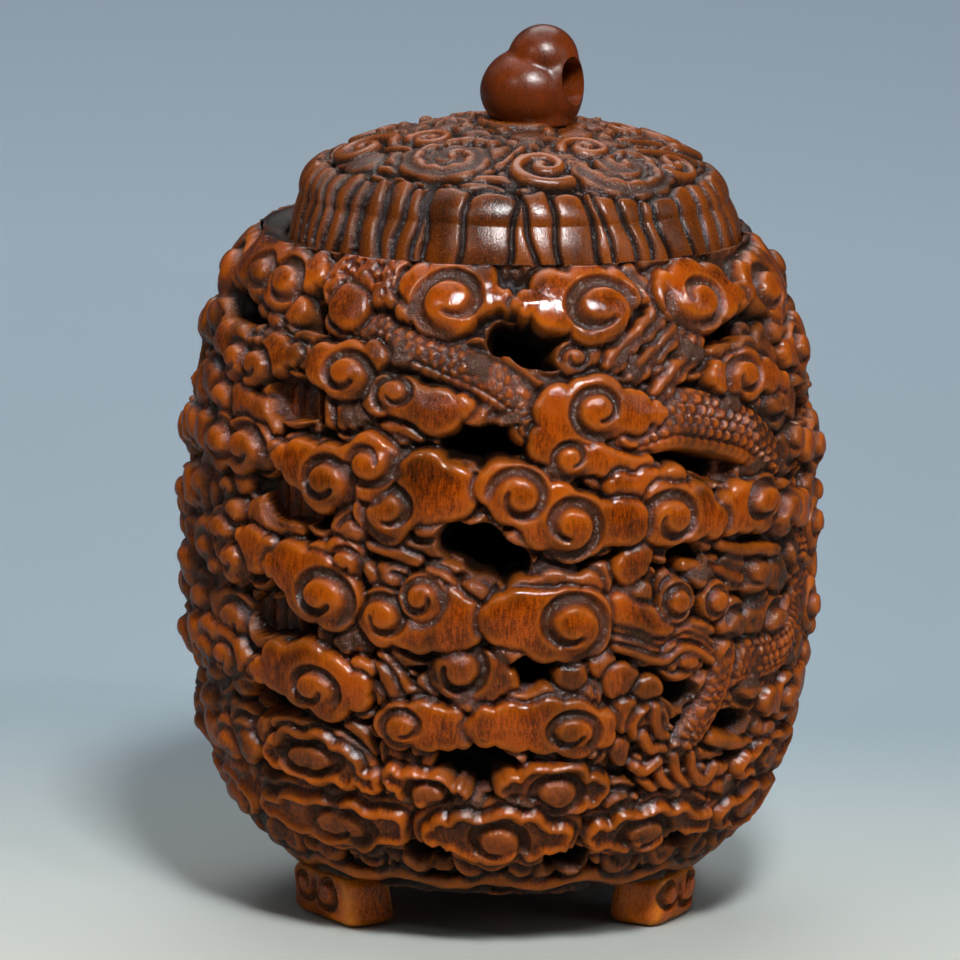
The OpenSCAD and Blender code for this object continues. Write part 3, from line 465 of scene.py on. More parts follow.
class CarvedField:
    """A depth map in mm over turned wood, which the carver's strokes are cut into."""

    crown: float = 0.42
    crown_run: float = 1.5
    edge: float = 0.65
    edge_drop: float = 0.42
    wall_slope: float = 5.0
    waist: float = 0.16
    grow: float = 0.26
    scallop: float = 0.34
    scallop_run: float = 4.2
    wobble_mm: float = 0.1
    margin: float = 1.4
    line_width: float = 0.42
    line_depth: float = 0.5
    pit_slope: float = 8.0
    rib_run: float = 1.9
    skirt_drop: float = 0.65
    border_in: float = 0.5
    border_half: float = 0.26
    pit_depth: float = 0.32
    ribbon: float = 0.95
    ribbon_run: float = 2.2
    ribbon_wave: float = 0.16
    scale_run: float = 1.2
    scale_row: float = 1.0
    belly_from: float = 0.52
    belly_run: float = 1.1

    def __init__(self, rows: np.ndarray, radius: np.ndarray, columns: int, span: float,
                 ground: np.ndarray) -> None:
        """Start from bare ground.

        Args:
            rows: Height or slant of each row, in mm, at an even pitch.
            radius: Radius of the wood at each row, in mm.
            columns: Number of columns in the span.
            span: Degrees that the map covers before it repeats.
            ground: Depth of the bare ground at each row, in mm below the skin.
        """
        self.rows = rows
        self.radius = radius
        self.columns = columns
        self.step = span / columns
        self.first = -span / 2
        self.depth = np.repeat(-ground[:, None], columns, axis=1)
        # Bare ground starts fully darkened: painted shade with wax residue.
        self.stain_and_shade = np.ones_like(self.depth)
        self.floor = np.zeros_like(self.depth)
        self.pitch = (float(rows[-1] - rows[0]) / (len(rows) - 1),
                      math.radians(self.step) * float(radius.mean()))
        self.wobble = self.noise(0.8, 3)
        self.grit = self.noise(0.22, 5)

    def noise(self, size: float, seed: int) -> np.ndarray:
        """Even noise of one grain size in mm, with a spread of 1.

        Args:
            size: The grain size, in mm.
            seed: Which noise it is.

        Returns:
            The noise, one value for each cell.
        """
        rough = np.random.default_rng(seed).standard_normal(self.depth.shape)
        soft = blur(rough, size / self.pitch[0], size / self.pitch[1])
        return soft / soft.std()

    def soften(self, values: np.ndarray, size: float) -> np.ndarray:
        """Smooth a map over a size in mm."""
        return blur(values, size / self.pitch[0], size / self.pitch[1])

    def on(self, values: np.ndarray, patch: Patch) -> np.ndarray:
        """The values of a map on one patch."""
        return values[patch.rows][:, patch.columns]

    def patch(self, points: Sequence[Sequence[float]], reach: float) -> Patch:
        """The part of the map round some drawn points.

        Args:
            points: Angle and height of each point.
            reach: How far beyond them the patch goes, in mm.

        Returns:
            The patch.
        """
        angles = [point[0] for point in points]
        heights = [point[1] for point in points]
        middle = (min(angles) + max(angles)) / 2
        radius = float(np.interp(sum(heights) / len(heights), self.rows, self.radius))
        half = (max(angles) - min(angles)) / 2 + math.degrees(reach / radius)
        half = min(half, self.step * self.columns / 2 - self.step)
        low = math.floor((middle - half - self.first) / self.step)
        high = math.ceil((middle + half - self.first) / self.step)
        wide = np.arange(low, high + 1)
        bottom = int(np.searchsorted(self.rows, min(heights) - reach))
        top = int(np.searchsorted(self.rows, max(heights) + reach))
        rows = slice(max(bottom, 0), min(top + 1, len(self.rows)))
        x = np.radians(wide * self.step + self.first - middle) * radius
        return Patch(rows, wide % self.columns, x[None, :], self.rows[rows][:, None], middle, radius)

    def chain(self, patch: Patch, lobes: Sequence[Lobe], scallop: float = 0.0) -> np.ndarray:
        """Distance in mm from the outline of a run of round lobes, less than 0 inside.

        Args:
            patch: The part of the map.
            lobes: Angle, height and radius of each lobe.
            scallop: How far the scallops round each lobe stand out, in mm.

        Returns:
            The distance at each place of the patch.
        """
        ends = [patch.local(angle, height) + (size,) for angle, height, size in lobes]
        if len(ends) == 1:
            ends = ends * 2
        best = None
        for (ax, ay, ar), (bx, by, br) in zip(ends, ends[1:]):
            run = max((bx - ax) ** 2 + (by - ay) ** 2, 1e-6)
            share = np.clip(((patch.x - ax) * (bx - ax) + (patch.y - ay) * (by - ay)) / run, 0, 1)
            away = np.hypot(patch.x - ax - share * (bx - ax), patch.y - ay - share * (by - ay))
            slim = self.waist * 4 * share * (1 - share) * min(1, math.sqrt(run) / (ar + br))
            away = away - ar - share * (br - ar) + slim * (ar + br) / 2
            best = away if best is None else np.minimum(best, away)
        for number, (cx, cy, size) in enumerate(ends):
            bumps = max(4, round(2 * math.pi * size / self.scallop_run))
            angle = np.arctan2(patch.y - cy, patch.x - cx) + number
            bulge = scallop * np.abs(np.cos(bumps * angle / 2))
            best = np.minimum(best, np.hypot(patch.x - cx, patch.y - cy) - size - bulge)
        return best + self.wobble_mm * self.on(self.wobble, patch)

    def lay(self, patch: Patch, away: np.ndarray, shape: np.ndarray, stain_and_shade: np.ndarray) -> None:
        """Lay a raised shape on the map, with a fine cut along its outline that is darkened as painted
        shade with wax residue.

        Args:
            patch: The part of the map.
            away: Distance from the shape's outline in mm, less than 0 inside.
            shape: Height of the shape, in mm.
            stain_and_shade: How far the shape itself is darkened, from 0 to 1: wax residue with painted
                shade.
        """
        # The cut along the outline and the foot of the shape's wall are darkened: painted shade with wax
        # residue.
        line = np.exp(-((np.maximum(away, 0) / self.line_width) ** 2))
        under = self.on(self.depth, patch) - self.line_depth * line
        dirt_and_shade = np.maximum(self.on(self.stain_and_shade, patch), line)
        wins = shape > under
        self.depth[patch.rows, patch.columns] = np.where(wins, shape, under)
        self.stain_and_shade[patch.rows, patch.columns] = np.where(wins, np.maximum(stain_and_shade, ease(away / 0.3)), dirt_and_shade)

    def plate(self, away: np.ndarray, level: float) -> np.ndarray:
        """The relief of a raised plate from the distance to its outline.

        Args:
            away: Distance from the outline in mm, less than 0 inside.
            level: Its depth below the skin, in mm.

        Returns:
            The height at each place, in mm.
        """
        inside = np.maximum(-away, 0)
        lip = np.clip(1 - inside / self.edge, 0, 1)
        rounded = self.edge_drop * (1 - np.sqrt(1 - lip * lip))
        crown = self.crown * (1 - np.exp(-inside / self.crown_run))
        return crown - level - rounded - self.wall_slope * np.maximum(away, 0)

    def hole(self, lobes: Sequence[Lobe], depth: float, ribs: float = 0.0) -> None:
        """Pierce or hollow the wood along a run of lobes, with ribs across its floor.

        Args:
            lobes: Angle, height and radius of each lobe.
            depth: How deep the pit goes, in mm.
            ribs: How high the ribs on its floor stand, in mm.
        """
        patch = self.patch(lobes, 3.0)
        away = self.chain(patch, lobes)
        under = self.on(self.depth, patch)
        wave = ribs * np.cos(2 * math.pi * patch.x / self.rib_run)
        pit = self.pit_slope * np.maximum(away, 0) - depth + wave
        # Pierced holes are darkened fully and ribbed pits partly: painted shade in the holes.
        dirt_and_shade = np.where(pit < under, 0.3 if ribs else 1.0, self.on(self.stain_and_shade, patch))
        if ribs:
            floor = np.maximum(ease((0.3 - away) / 0.4), self.on(self.floor, patch))
            self.floor[patch.rows, patch.columns] = floor
        self.depth[patch.rows, patch.columns] = np.minimum(under, pit)
        self.stain_and_shade[patch.rows, patch.columns] = dirt_and_shade

    def cloud(self, cloud: Cloud) -> None:
        """Raise one cloud and cut its scrolls.

        Args:
            cloud: The cloud.
        """
        reach = max(lobe[2] for lobe in cloud.lobes) + cloud.skirt + self.margin
        patch = self.patch(cloud.lobes, reach)
        away = self.chain(patch, cloud.lobes, self.scallop * max(0.0, 1 - cloud.level)) - self.grow
        # Deeper clouds and dished middles are darkened: painted shade.
        stain_and_shade = np.full_like(away, min(0.5, 0.4 * cloud.level))
        if cloud.skirt:
            below = away - cloud.skirt
            self.lay(patch, below, self.plate(below, cloud.level + self.skirt_drop), stain_and_shade)
        shape = self.plate(away, cloud.level)
        if cloud.border:
            shape = shape + cloud.border * np.exp(-(((away + self.border_in) / self.border_half) ** 2))
            dish = ease((-away - 0.75) / 0.5)
            shape = shape - 1.5 * cloud.border * dish
            stain_and_shade = np.maximum(stain_and_shade, 0.4 * dish)
        if cloud.pitted:
            pits = self.on(self.grit, patch)
            shape = shape - self.pit_depth * np.clip(pits, 0, 1.4) * ease((-away - 0.2) / 0.3)
        for scroll in cloud.scrolls:
            eye_x, eye_y = patch.local(scroll.angle, scroll.height)
            cut, gouge = scroll_cut((patch.x - eye_x) / scroll.stretch, patch.y - eye_y,
                                    scroll.radius, scroll.start, scroll.turn)
            shape = shape + cut
            # Scroll gouges are darkened: wax residue with painted shade.
            stain_and_shade = np.maximum(stain_and_shade, 0.7 * ease(1.25 * gouge))
        self.lay(patch, away, shape, stain_and_shade)

    def trace(self, patch: Patch, path: np.ndarray) -> Tuple[np.ndarray, np.ndarray, np.ndarray]:
        """Follow a path over a patch.

        Args:
            patch: The patch.
            path: Angle, height and half width along the path.

        Returns:
            The signed distance to the side, the length along, and the half width, in mm.
        """
        points = [patch.local(row[0], row[1]) + (row[2],) for row in path]
        side = np.full(np.broadcast_shapes(patch.x.shape, patch.y.shape), 99.0)
        along = np.zeros_like(side)
        width = np.ones_like(side)
        gone = 0.0
        for (ax, ay, aw), (bx, by, bw) in zip(points, points[1:]):
            length = max(math.hypot(bx - ax, by - ay), 1e-6)
            share = ((patch.x - ax) * (bx - ax) + (patch.y - ay) * (by - ay)) / length**2
            share = np.clip(share, 0, 1)
            dx = patch.x - ax - share * (bx - ax)
            dy = patch.y - ay - share * (by - ay)
            sign = np.where((bx - ax) * dy - (by - ay) * dx < 0, -1.0, 1.0)
            distance = np.hypot(dx, dy)
            nearer = distance < np.abs(side)
            side = np.where(nearer, sign * distance, side)
            along = np.where(nearer, gone + share * length, along)
            width = np.where(nearer, aw + share * (bw - aw), width)
            gone += length
        return side, along, width

    def fold(self, fold: Fold) -> None:
        """Raise one round strand, or a wide ribbon with a hollow along it.

        Args:
            fold: The strand.
        """
        path = smooth_path([point + (fold.width,) for point in fold.path])
        patch = self.patch(fold.path, fold.width + self.margin)
        side, along, width = self.trace(patch, path)
        wave = self.ribbon_wave * np.sin(2 * math.pi * along / self.ribbon_run)
        away = np.abs(side) - width + (wave if fold.width > self.ribbon else 0.0)
        away = away + 0.5 * self.wobble_mm * self.on(self.wobble, patch)
        across = np.clip(1 + away / width, 0, 1)
        shape = -fold.level - 0.75 * width * across**3
        # The strand's sloping sides and the ribbon's hollow are darkened: painted shade.
        stain_and_shade = 0.4 * across**4
        if fold.width > self.ribbon:
            hollow = np.exp(-(((side / width - 0.25) / 0.45) ** 2))
            shape = shape - 0.45 * hollow + 0.3 * across**3
            stain_and_shade = np.maximum(stain_and_shade, 0.8 * hollow)
        self.lay(patch, away, shape - self.wall_slope * np.maximum(away, 0), stain_and_shade)

    def coil(self, coil: Coil) -> None:
        """Raise one length of scaly body with a ribbed belly band.

        Args:
            coil: The length of body.
        """
        path = smooth_path(coil.path)
        patch = self.patch(coil.path, max(point[2] for point in coil.path) + 1.6)
        side, along, width = self.trace(patch, path)
        away = np.abs(side) - width
        across = np.clip(np.abs(side) / width, 0, 1)
        shape = -coil.level - 1.2 * (1 - np.sqrt(1 - 0.97 * across**2))
        lift = self.on(self.wobble, patch)
        half_run = self.scale_run / 2
        row = np.round(side / self.scale_row)
        u = np.mod(along + 0.3 * lift + half_run * np.mod(row, 2), self.scale_run) - half_run
        v = side - self.scale_row * row
        tick = np.exp(-(((u - 0.1 + 0.7 * v * v) / 0.27) ** 2)) * ease((0.54 - np.abs(v)) / 0.22)
        scales = (0.4 + 0.14 * lift) * tick - 0.22
        band = coil.belly * side / width
        ribs = 0.12 * np.abs(np.sin(math.pi * along / self.belly_run)) - 0.1
        seam = -0.3 * np.exp(-(((band - self.belly_from) * width / 0.16) ** 2))
        shape = shape + np.where(band > self.belly_from, ribs, scales) * ease((1 - across) / 0.15) + seam
        # The gaps between scales are darkened: painted shade with wax residue.
        dirt_and_shade = np.where(band > self.belly_from, 0.0, 0.7 * (1 - ease(1.6 * tick)))
        self.lay(patch, away, shape - self.wall_slope * np.maximum(away, 0), dirt_and_shade)


@dataclass
class TurnedGrid:
    """A closed loop of rings round an axis, cut into sectors that become meshes.

    Ring k, column j of places is one point. Rings follow the section of the wood once
    round, and marks holds one list of values for each point attribute.
    """

    places: np.ndarray
    marks: Dict[str, np.ndarray]

    def __post_init__(self) -> None:
        """Work out the normals and the number of each point."""
        around = np.roll(self.places, -1, axis=1) - np.roll(self.places, 1, axis=1)
        along = np.roll(self.places, -1, axis=0) - np.roll(self.places, 1, axis=0)
        normals = np.cross(around, along)
        size = np.linalg.norm(normals, axis=2, keepdims=True)
        self.normals = normals / np.maximum(size, 1e-15)
        self.rings, self.columns = self.places.shape[:2]
        self.numbers = np.arange(self.rings * self.columns).reshape(self.rings, self.columns)

    def quads(self, rings: np.ndarray, columns: np.ndarray) -> np.ndarray:
        """Corner ring and column of the cells that start at these rings and columns.

        Args:
            rings: The first ring of each cell.
            columns: The first column of each cell.

        Returns:
            The four corners of each cell, as ring and column.
        """
        nearer = np.stack([rings, rings, rings + 1, rings + 1], axis=1)
        sides = np.stack([columns, columns + 1, columns + 1, columns], axis=1)
        return np.stack([nearer, sides], axis=2)

    def piece(self, name: str, faces: Sequence[np.ndarray]) -> bpy.types.Object:
        """Make one mesh object.

        Args:
            name: Its name.
            faces: Arrays of corners, each of shape (faces, corners, 2) as ring and column.

        Returns:
            The object, with smooth normals, a UV map and the point attributes.
        """
        sizes = np.concatenate([np.full(len(group), group.shape[1]) for group in faces])
        corners = np.concatenate([group.reshape(-1, 2) for group in faces])
        ring = corners[:, 0] % self.rings
        column = corners[:, 1] % self.columns
        used, index = np.unique(self.numbers[ring, column], return_inverse=True)
        mesh = bpy.data.meshes.new(name)
        mesh.vertices.add(len(used))
        mesh.loops.add(len(corners))
        mesh.polygons.add(len(sizes))
        mesh.vertices.foreach_set("co", (self.places.reshape(-1, 3)[used] * MM).ravel())
        mesh.loops.foreach_set("vertex_index", index.ravel())
        starts = np.concatenate([[0], np.cumsum(sizes)[:-1]])
        mesh.polygons.foreach_set("loop_start", starts)
        mesh.update(calc_edges=True)
        wide = corners[:, 1] - corners[:, 1].min()
        tall = corners[:, 0] - corners[:, 0].min()
        spots = np.stack([0.01 + 0.98 * wide / wide.max(), 0.01 + 0.98 * tall / tall.max()], axis=1)
        mesh.uv_layers.new(name="OFBake").data.foreach_set("uv", spots.ravel())
        for mark, values in self.marks.items():
            layer = mesh.attributes.new(mark, "FLOAT", "POINT")
            layer.data.foreach_set("value", values.ravel()[used].astype(np.float32))
        mesh.polygons.foreach_set("use_smooth", np.ones(len(sizes), dtype=bool))
        mesh.normals_split_custom_set(self.normals[ring, column])
        thing = bpy.data.objects.new(name, mesh)
        bpy.context.scene.collection.objects.link(thing)
        return thing


def ring_at(radius: np.ndarray, height: np.ndarray, angles: np.ndarray, shift: np.ndarray) -> np.ndarray:
    """Points of one ring in mm: angle 0 faces the viewer and grows to the right.

    Args:
        radius: Radius at each point, in mm.
        height: Height at each point, in mm.
        angles: Angle of each point, in radians.
        shift: How far right the ring's middle is, in mm.

    Returns:
        The points, one x, y and z each.
    """
    x = shift + radius * np.sin(angles)
    y = -radius * np.cos(angles)
    return np.stack([x, y, np.broadcast_to(height, x.shape)], axis=-1)


class Shade:
    """Builds one material from its nodes."""

    def __init__(self, name: str) -> None:
        """Start an empty material."""
        self.material = bpy.data.materials.new(name)
        self.material.use_nodes = True
        self.tree = self.material.node_tree
        self.tree.nodes.clear()

    def plug(self, socket: bpy.types.NodeSocket, value: Value) -> None:
        """Link an output to an input, or set the input to a plain value.

        Args:
            socket: The input.
            value: The output socket or the value.
        """
        if isinstance(value, bpy.types.NodeSocket):
            self.tree.links.new(value, socket)
        else:
            socket.default_value = value

    def node(self, kind: str, sockets: Dict, **settings: object) -> bpy.types.Node:
        """Add a node.

        Args:
            kind: The node's type.
            sockets: Values or output sockets, by input name or number.
            settings: The node's own settings.

        Returns:
            The node.
        """
        node = self.tree.nodes.new(kind)
        for key, value in settings.items():
            setattr(node, key, value)
        for key, value in sockets.items():
            self.plug(node.inputs[key], value)
        return node

    def math(self, kind: str, first: Value, second: Value, clamp: bool = False) -> bpy.types.NodeSocket:
        """The result of one sum."""
        made = self.node("ShaderNodeMath", {0: first, 1: second}, operation=kind, use_clamp=clamp)
        return made.outputs[0]

    def scaled(self, value: Value, factor: float, offset: float) -> bpy.types.NodeSocket:
        """A value times a factor, plus an offset."""
        made = self.node("ShaderNodeMath", {0: value, 1: factor, 2: offset}, operation="MULTIPLY_ADD")
        return made.outputs[0]

    def centred(self, noise: Value, amount: float) -> bpy.types.NodeSocket:
        """Noise that swings by an amount to either side of 0."""
        return self.math("MULTIPLY", self.math("SUBTRACT", noise, 0.5), amount)

    def mix(self, share: Value, first: Value, second: Value) -> bpy.types.NodeSocket:
        """Two colours mixed.

        Args:
            share: How much of the second colour there is.
            first: The first colour.
            second: The second colour.

        Returns:
            The mixed colour.
        """
        node = self.node("ShaderNodeMix", {}, data_type="RGBA")
        for key, value in ((0, share), (6, first), (7, second)):
            self.plug(node.inputs[key], value)
        return node.outputs[2]

    def mark(self, name: str) -> bpy.types.NodeSocket:
        """One of the piece's own point attributes."""
        return self.node("ShaderNodeAttribute", {}, attribute_name=name).outputs["Fac"]

    def noise(self, size: Place, detail: float) -> bpy.types.NodeSocket:
        """Noise of so many grains per metre along each axis.

        Args:
            size: Grains per metre along x, y and z.
            detail: How many finer layers it has.

        Returns:
            The noise.
        """
        place = self.node("ShaderNodeTexCoord", {}).outputs["Object"]
        turned = self.node("ShaderNodeMapping", {"Vector": place, "Scale": size}).outputs[0]
        made = self.node("ShaderNodeTexNoise", {"Vector": turned, "Scale": 1.0, "Detail": detail})
        return made.outputs["Fac"]

    def ramp(self, share: Value, stops: Sequence[Tuple[float, Colour]]) -> bpy.types.NodeSocket:
        """A run of colours.

        Args:
            share: The place in the run.
            stops: Place and colour of each stop.

        Returns:
            The colour.
        """
        node = self.node("ShaderNodeValToRGB", {0: share})
        band = node.color_ramp
        while len(band.elements) < len(stops):
            band.elements.new(0.5)
        for element, (place, colour) in zip(band.elements, stops):
            element.position = place
            element.color = linear(colour)
        return node.outputs[0]

    def surface(self, sockets: Dict) -> bpy.types.Material:
        """Finish with one surface shader.

        Args:
            sockets: Values or output sockets, by input name.

        Returns:
            The finished material.
        """
        shader = self.node("ShaderNodeBsdfPrincipled", sockets)
        self.node("ShaderNodeOutputMaterial", {0: shader.outputs[0]})
        return self.material


@dataclass(frozen=True)
class WaxedWood:
    """Dark carving wood, stained and waxed: colours from a recess colour that is partly painted shade to
    worn edge, and gloss.
    """

    name: str
    recess: Colour
    gouge: Colour
    shade: Colour
    body: Colour
    raised: Colour
    worn: Colour
    gloss: float = 0.3
    bare_height: float = 0.0
    figure: float = 1.0
    grit: float = 0.1

    streaks: ClassVar[Place] = (4200, 4200, 900)
    bands: ClassVar[Place] = (420, 420, 40)
    blotches: ClassVar[Place] = (180, 180, 150)
    specks: ClassVar[Place] = (6200, 6200, 5200)
    specular: ClassVar[float] = 0.52
    bump_depth: ClassVar[float] = 0.0001

    def build(self) -> bpy.types.Material:
        """Make the material.

        Returns:
            The finished material.
        """
        shade = Shade(self.name)
        streak = shade.noise(self.streaks, 4.0)
        band = shade.noise(self.bands, 3.0)
        blotch = shade.noise(self.blotches, 3.0)
        speck = shade.noise(self.specks, 2.0)
        stain_and_shade = shade.mark("stain_and_shade")
        # Tone falls where the wood is deep and in cavities: painted shade.
        tone = shade.scaled(shade.math("ADD", shade.mark("height"), self.bare_height), 0.5, 0.2)
        tone = shade.math("SUBTRACT", tone, shade.math("MULTIPLY", shade.mark("hollow"), 0.4))
        for noise, amount in ((blotch, 1.8 * self.figure), (band, 0.5), (speck, 0.7 * self.figure),
                              (streak, 1.1 * self.figure)):
            tone = shade.math("ADD", tone, shade.centred(noise, amount), noise is streak)
        colour = shade.ramp(tone, ((0.0, self.recess), (0.28, self.shade), (0.6, self.body),
                                   (0.95, self.raised)))
        worn = shade.math("MULTIPLY", shade.mark("edge"), shade.math("ADD", blotch, 0.1), True)
        colour = shade.mix(shade.math("MULTIPLY", worn, 0.8), colour, linear(self.worn))
        # Darkened places go towards a colour that runs from near black low down to grey-brown higher up:
        # wax residue with painted shade.
        dirt_and_shade = shade.math("MULTIPLY", stain_and_shade, shade.math("ADD", blotch, 0.45), True)
        grime_and_shade = shade.ramp(shade.mark("height"), ((0.1, self.recess), (0.75, self.gouge)))
        colour = shade.mix(dirt_and_shade, colour, grime_and_shade)
        rough = shade.scaled(shade.math("SUBTRACT", speck, 0.5), 0.3, self.gloss)
        rough = shade.math("SUBTRACT", rough, shade.math("MULTIPLY", stain_and_shade, 0.02), True)
        pits = shade.math("MULTIPLY", speck, shade.scaled(stain_and_shade, 5.0, self.grit))
        relief = shade.math("ADD", shade.math("MULTIPLY", streak, 0.3), pits)
        bump = shade.node("ShaderNodeBump", {"Height": relief, "Strength": 0.6,
                                             "Distance": self.bump_depth})
        return shade.surface({"Base Color": colour, "Roughness": rough, "Normal": bump.outputs[0],
                              "Specular IOR Level": self.specular})


# The near-black recess colours serve as painted shade in the deep places, along with wax residue.
BARREL_WOOD = WaxedWood("barrel_wood", (26, 15, 9), (74, 47, 32), (48, 18, 2), (102, 38, 0),
                        (158, 66, 1), (196, 100, 8), 0.15)
LID_WOOD = WaxedWood("lid_wood", (30, 18, 12), (64, 43, 33), (44, 19, 5), (80, 34, 2), (114, 50, 3),
                     (152, 76, 12), 0.24, 0.0, 1.0, 0.5)
# The feet have a lighter copy of the wood: painted light, as they stand in the shade under the belly.
FOOT_WOOD = WaxedWood("foot_wood", (60, 31, 13), (92, 50, 20), (122, 50, 0), (172, 74, 0), (206, 98, 0),
                      (228, 138, 28), 0.3)
KNOB_WOOD = WaxedWood("knob_wood", (56, 20, 6), (60, 24, 8), (76, 29, 4), (112, 44, 3), (148, 64, 8),
                      (160, 80, 22), 0.3, 0.45, 0.4)
FLOOR_WOOD = WaxedWood("floor_wood", (44, 22, 10), (60, 32, 14), (84, 40, 14), (120, 60, 22),
                       (146, 78, 30), (160, 96, 50), 0.5, 0.4)


@dataclass
class CarvedBarrel:
    """The turned and pierced barrel with its carved clouds, in mm."""

    belly_d: float = 62.0
    base_d: float = 45.0
    rim_d: float = 48.6
    base_z: float = 5.2
    belly_z: float = 39.0
    rim_z: float = 66.4
    power: float = 3.2
    ground: float = 2.0
    neck_r: float = 23.7
    thickness: float = 4.7
    mouth_shift: float = 1.2
    seat_r: float = 22.3
    seat_z: float = 65.0
    mouth_r: float = 19.6
    under_z: float = 61.4
    floor_z: float = 8.6
    floor_r: float = 20.4
    bore_r: float = 13.56
    rebate_r: float = 15.56
    rebate_z: float = 6.7
    row_count: int = 415
    half_columns: int = 600
    row_mm: float = 0.16
    column_mm: float = 0.26
    sectors: int = 8
    block: int = 6
    cut_depth: float = 4.3
    blind_at: float = 178.0
    blind_half: float = 17.0
    deepest: float = 2.9
    solid_above: float = 62.2
    solid_deepest: float = 3.4
    solid_extra: float = 1.4
    cavity_low: float = 9.6
    cavity_high: float = 62.3
    filler_level: float = 0.9
    filler_low: float = 9.5
    filler_high: float = 63.0
    filler_rise: float = 5.4
    filler_step: float = 15.0
    recess_depth: float = 3.0
    rib_height: float = 0.14
    hole_depth: float = 4.9
    low_holes_z: float = 10.0
    low_hole_depth: float = 3.6
    strands: int = 4
    worn_at: float = -73.0
    worn_half: float = 15.0
    worn_soft: float = 0.34

    def skin(self, height: np.ndarray) -> np.ndarray:
        """Radius of the uncarved barrel at a height.

        Args:
            height: The height, in mm.

        Returns:
            The radius, in mm.
        """
        up = np.clip((height - self.belly_z) / (self.rim_z - self.belly_z), 0, 1) ** self.power
        down = np.clip((self.belly_z - height) / (self.belly_z - self.base_z), 0, 1) ** self.power
        return (self.belly_d - (self.belly_d - self.rim_d) * up - (self.belly_d - self.base_d) * down) / 2

    def profile(self) -> None:
        """Space the rows evenly along the section, and find their normals."""
        fine = np.linspace(self.base_z, self.rim_z, 4000)
        radius = self.skin(fine)
        length = np.concatenate([[0], np.cumsum(np.hypot(np.diff(fine), np.diff(radius)))])
        even = np.linspace(0, length[-1], self.row_count)
        self.heights = np.interp(even, length, fine)
        self.radii = self.skin(self.heights)
        lean = np.gradient(self.radii, self.heights)
        lean = lean * ease((self.heights - self.base_z) / 4) * ease((self.rim_z - self.heights) / 2.5)
        size = np.sqrt(1 + lean * lean)
        self.outward = 1 / size
        self.upward = -lean / size

    def fillers(self, wood: CarvedField) -> None:
        """Cover the ground with small clouds.

        Args:
            wood: The barrel's map.
        """
        for row, height in enumerate(np.arange(self.filler_low, self.filler_high, self.filler_rise)):
            offset = self.filler_step / 2 * (row % 2)
            for column, angle in enumerate(np.arange(-90 + offset, 90, self.filler_step)):
                lean = 0.6 if (row + column) % 2 else -0.5
                start = 90 * ((row + 2 * column) % 4)
                lobes = ((angle - 4, height - lean, 2.0), (angle + 2.6, height + lean, 2.7))
                scroll = Scroll(angle + 2.4, height + lean, 1.45, start)
                wood.cloud(Cloud(self.filler_level, lobes, (scroll,)))

    def strokes(self) -> List[Union[Cloud, Fold]]:
        """All the raised shapes apart from the coils.

        Returns:
            The shapes, the deepest first.
        """
        folds = list(FOLDS)
        for strand in range(self.strands):
            folds.append(Fold(0.35 - 0.05 * strand, 0.45, [(a, z - 0.8 * strand) for a, z in TUFT]))
            folds.append(Fold(0.4, 0.55, [(a + 4 * strand, z) for a, z in HAIR]))
        folds.extend(Fold(0.2, 0.6, path) for path in CLAWS)
        wave = [(angle, 6.4 + 0.35 * math.cos(math.radians(15 * angle))) for angle in range(-92, 94, 4)]
        folds.append(Fold(1.1, 0.55, wave))
        scallops = [Cloud(0.9, ((angle, 8.7, 1.5),), border=0.2) for angle in range(-90, 90, 12)]
        return sorted(list(CLOUDS) + folds + scallops, key=lambda stroke: -stroke.level)

    def carve(self) -> Tuple[np.ndarray, np.ndarray, np.ndarray]:
        """Carve half a turn of the barrel.

        Returns:
            The depth map in mm, one row for each height, the darkening for wax residue and painted shade,
            and the bare pit floors from 0 to 1.
        """
        spare = np.maximum(self.radii - self.neck_r, 0.25)
        ground = np.where(self.heights > self.belly_z, np.minimum(self.ground, spare), self.ground)
        wood = CarvedField(self.heights, self.radii, self.half_columns, 180.0, ground)
        wood.depth += 0.2 * wood.noise(1.0, 11) + 0.05 * wood.grit
        # Bare ground between the clouds starts darkened: painted shade with wax residue.
        wood.stain_and_shade[:] = 0.6
        self.fillers(wood)
        for lobes in RECESSES:
            wood.hole(lobes, self.recess_depth, self.rib_height)
        for lobes in HOLES:
            wood.hole(lobes, self.hole_depth)
        for coil in COILS:
            wood.coil(coil)
        for stroke in self.strokes():
            if isinstance(stroke, Cloud):
                wood.cloud(stroke)
            else:
                wood.fold(stroke)
        for lobes in HOLES:
            if lobes[0][1] < self.low_holes_z:
                wood.hole(lobes, self.low_hole_depth)
        depth = np.maximum(wood.depth, -ground[:, None] - self.deepest)
        solid = (self.heights < self.low_holes_z) | (self.heights > self.solid_above)
        limit = np.minimum(self.solid_deepest, ground[solid, None] + self.solid_extra)
        depth[solid] = np.maximum(depth[solid], -limit)
        depth = depth + 0.06 * wood.stain_and_shade * wood.noise(0.16, 7) + 0.02 * wood.noise(0.5, 13)
        # A soft, wide haze of darkening spreads round the darkened places: painted shade with wax
        # residue.
        stain_and_shade = np.maximum(wood.soften(wood.stain_and_shade, 0.12), 0.6 * wood.soften(wood.stain_and_shade, 0.5))
        angles = wood.first + np.arange(wood.columns) * wood.step
        beside = np.mod(angles + (90 - self.worn_at), 180) - 90
        worn = np.exp(-((beside / self.worn_half) ** 2))[None, :]
        depth = wood.soften(depth, 0.07) * (1 - worn) + wood.soften(depth, self.worn_soft) * worn
        floors = wood.floor * ease((-2.0 - depth) / 0.4)
        return depth, np.clip(stain_and_shade * (1 - 0.35 * worn), 0, 1), floors

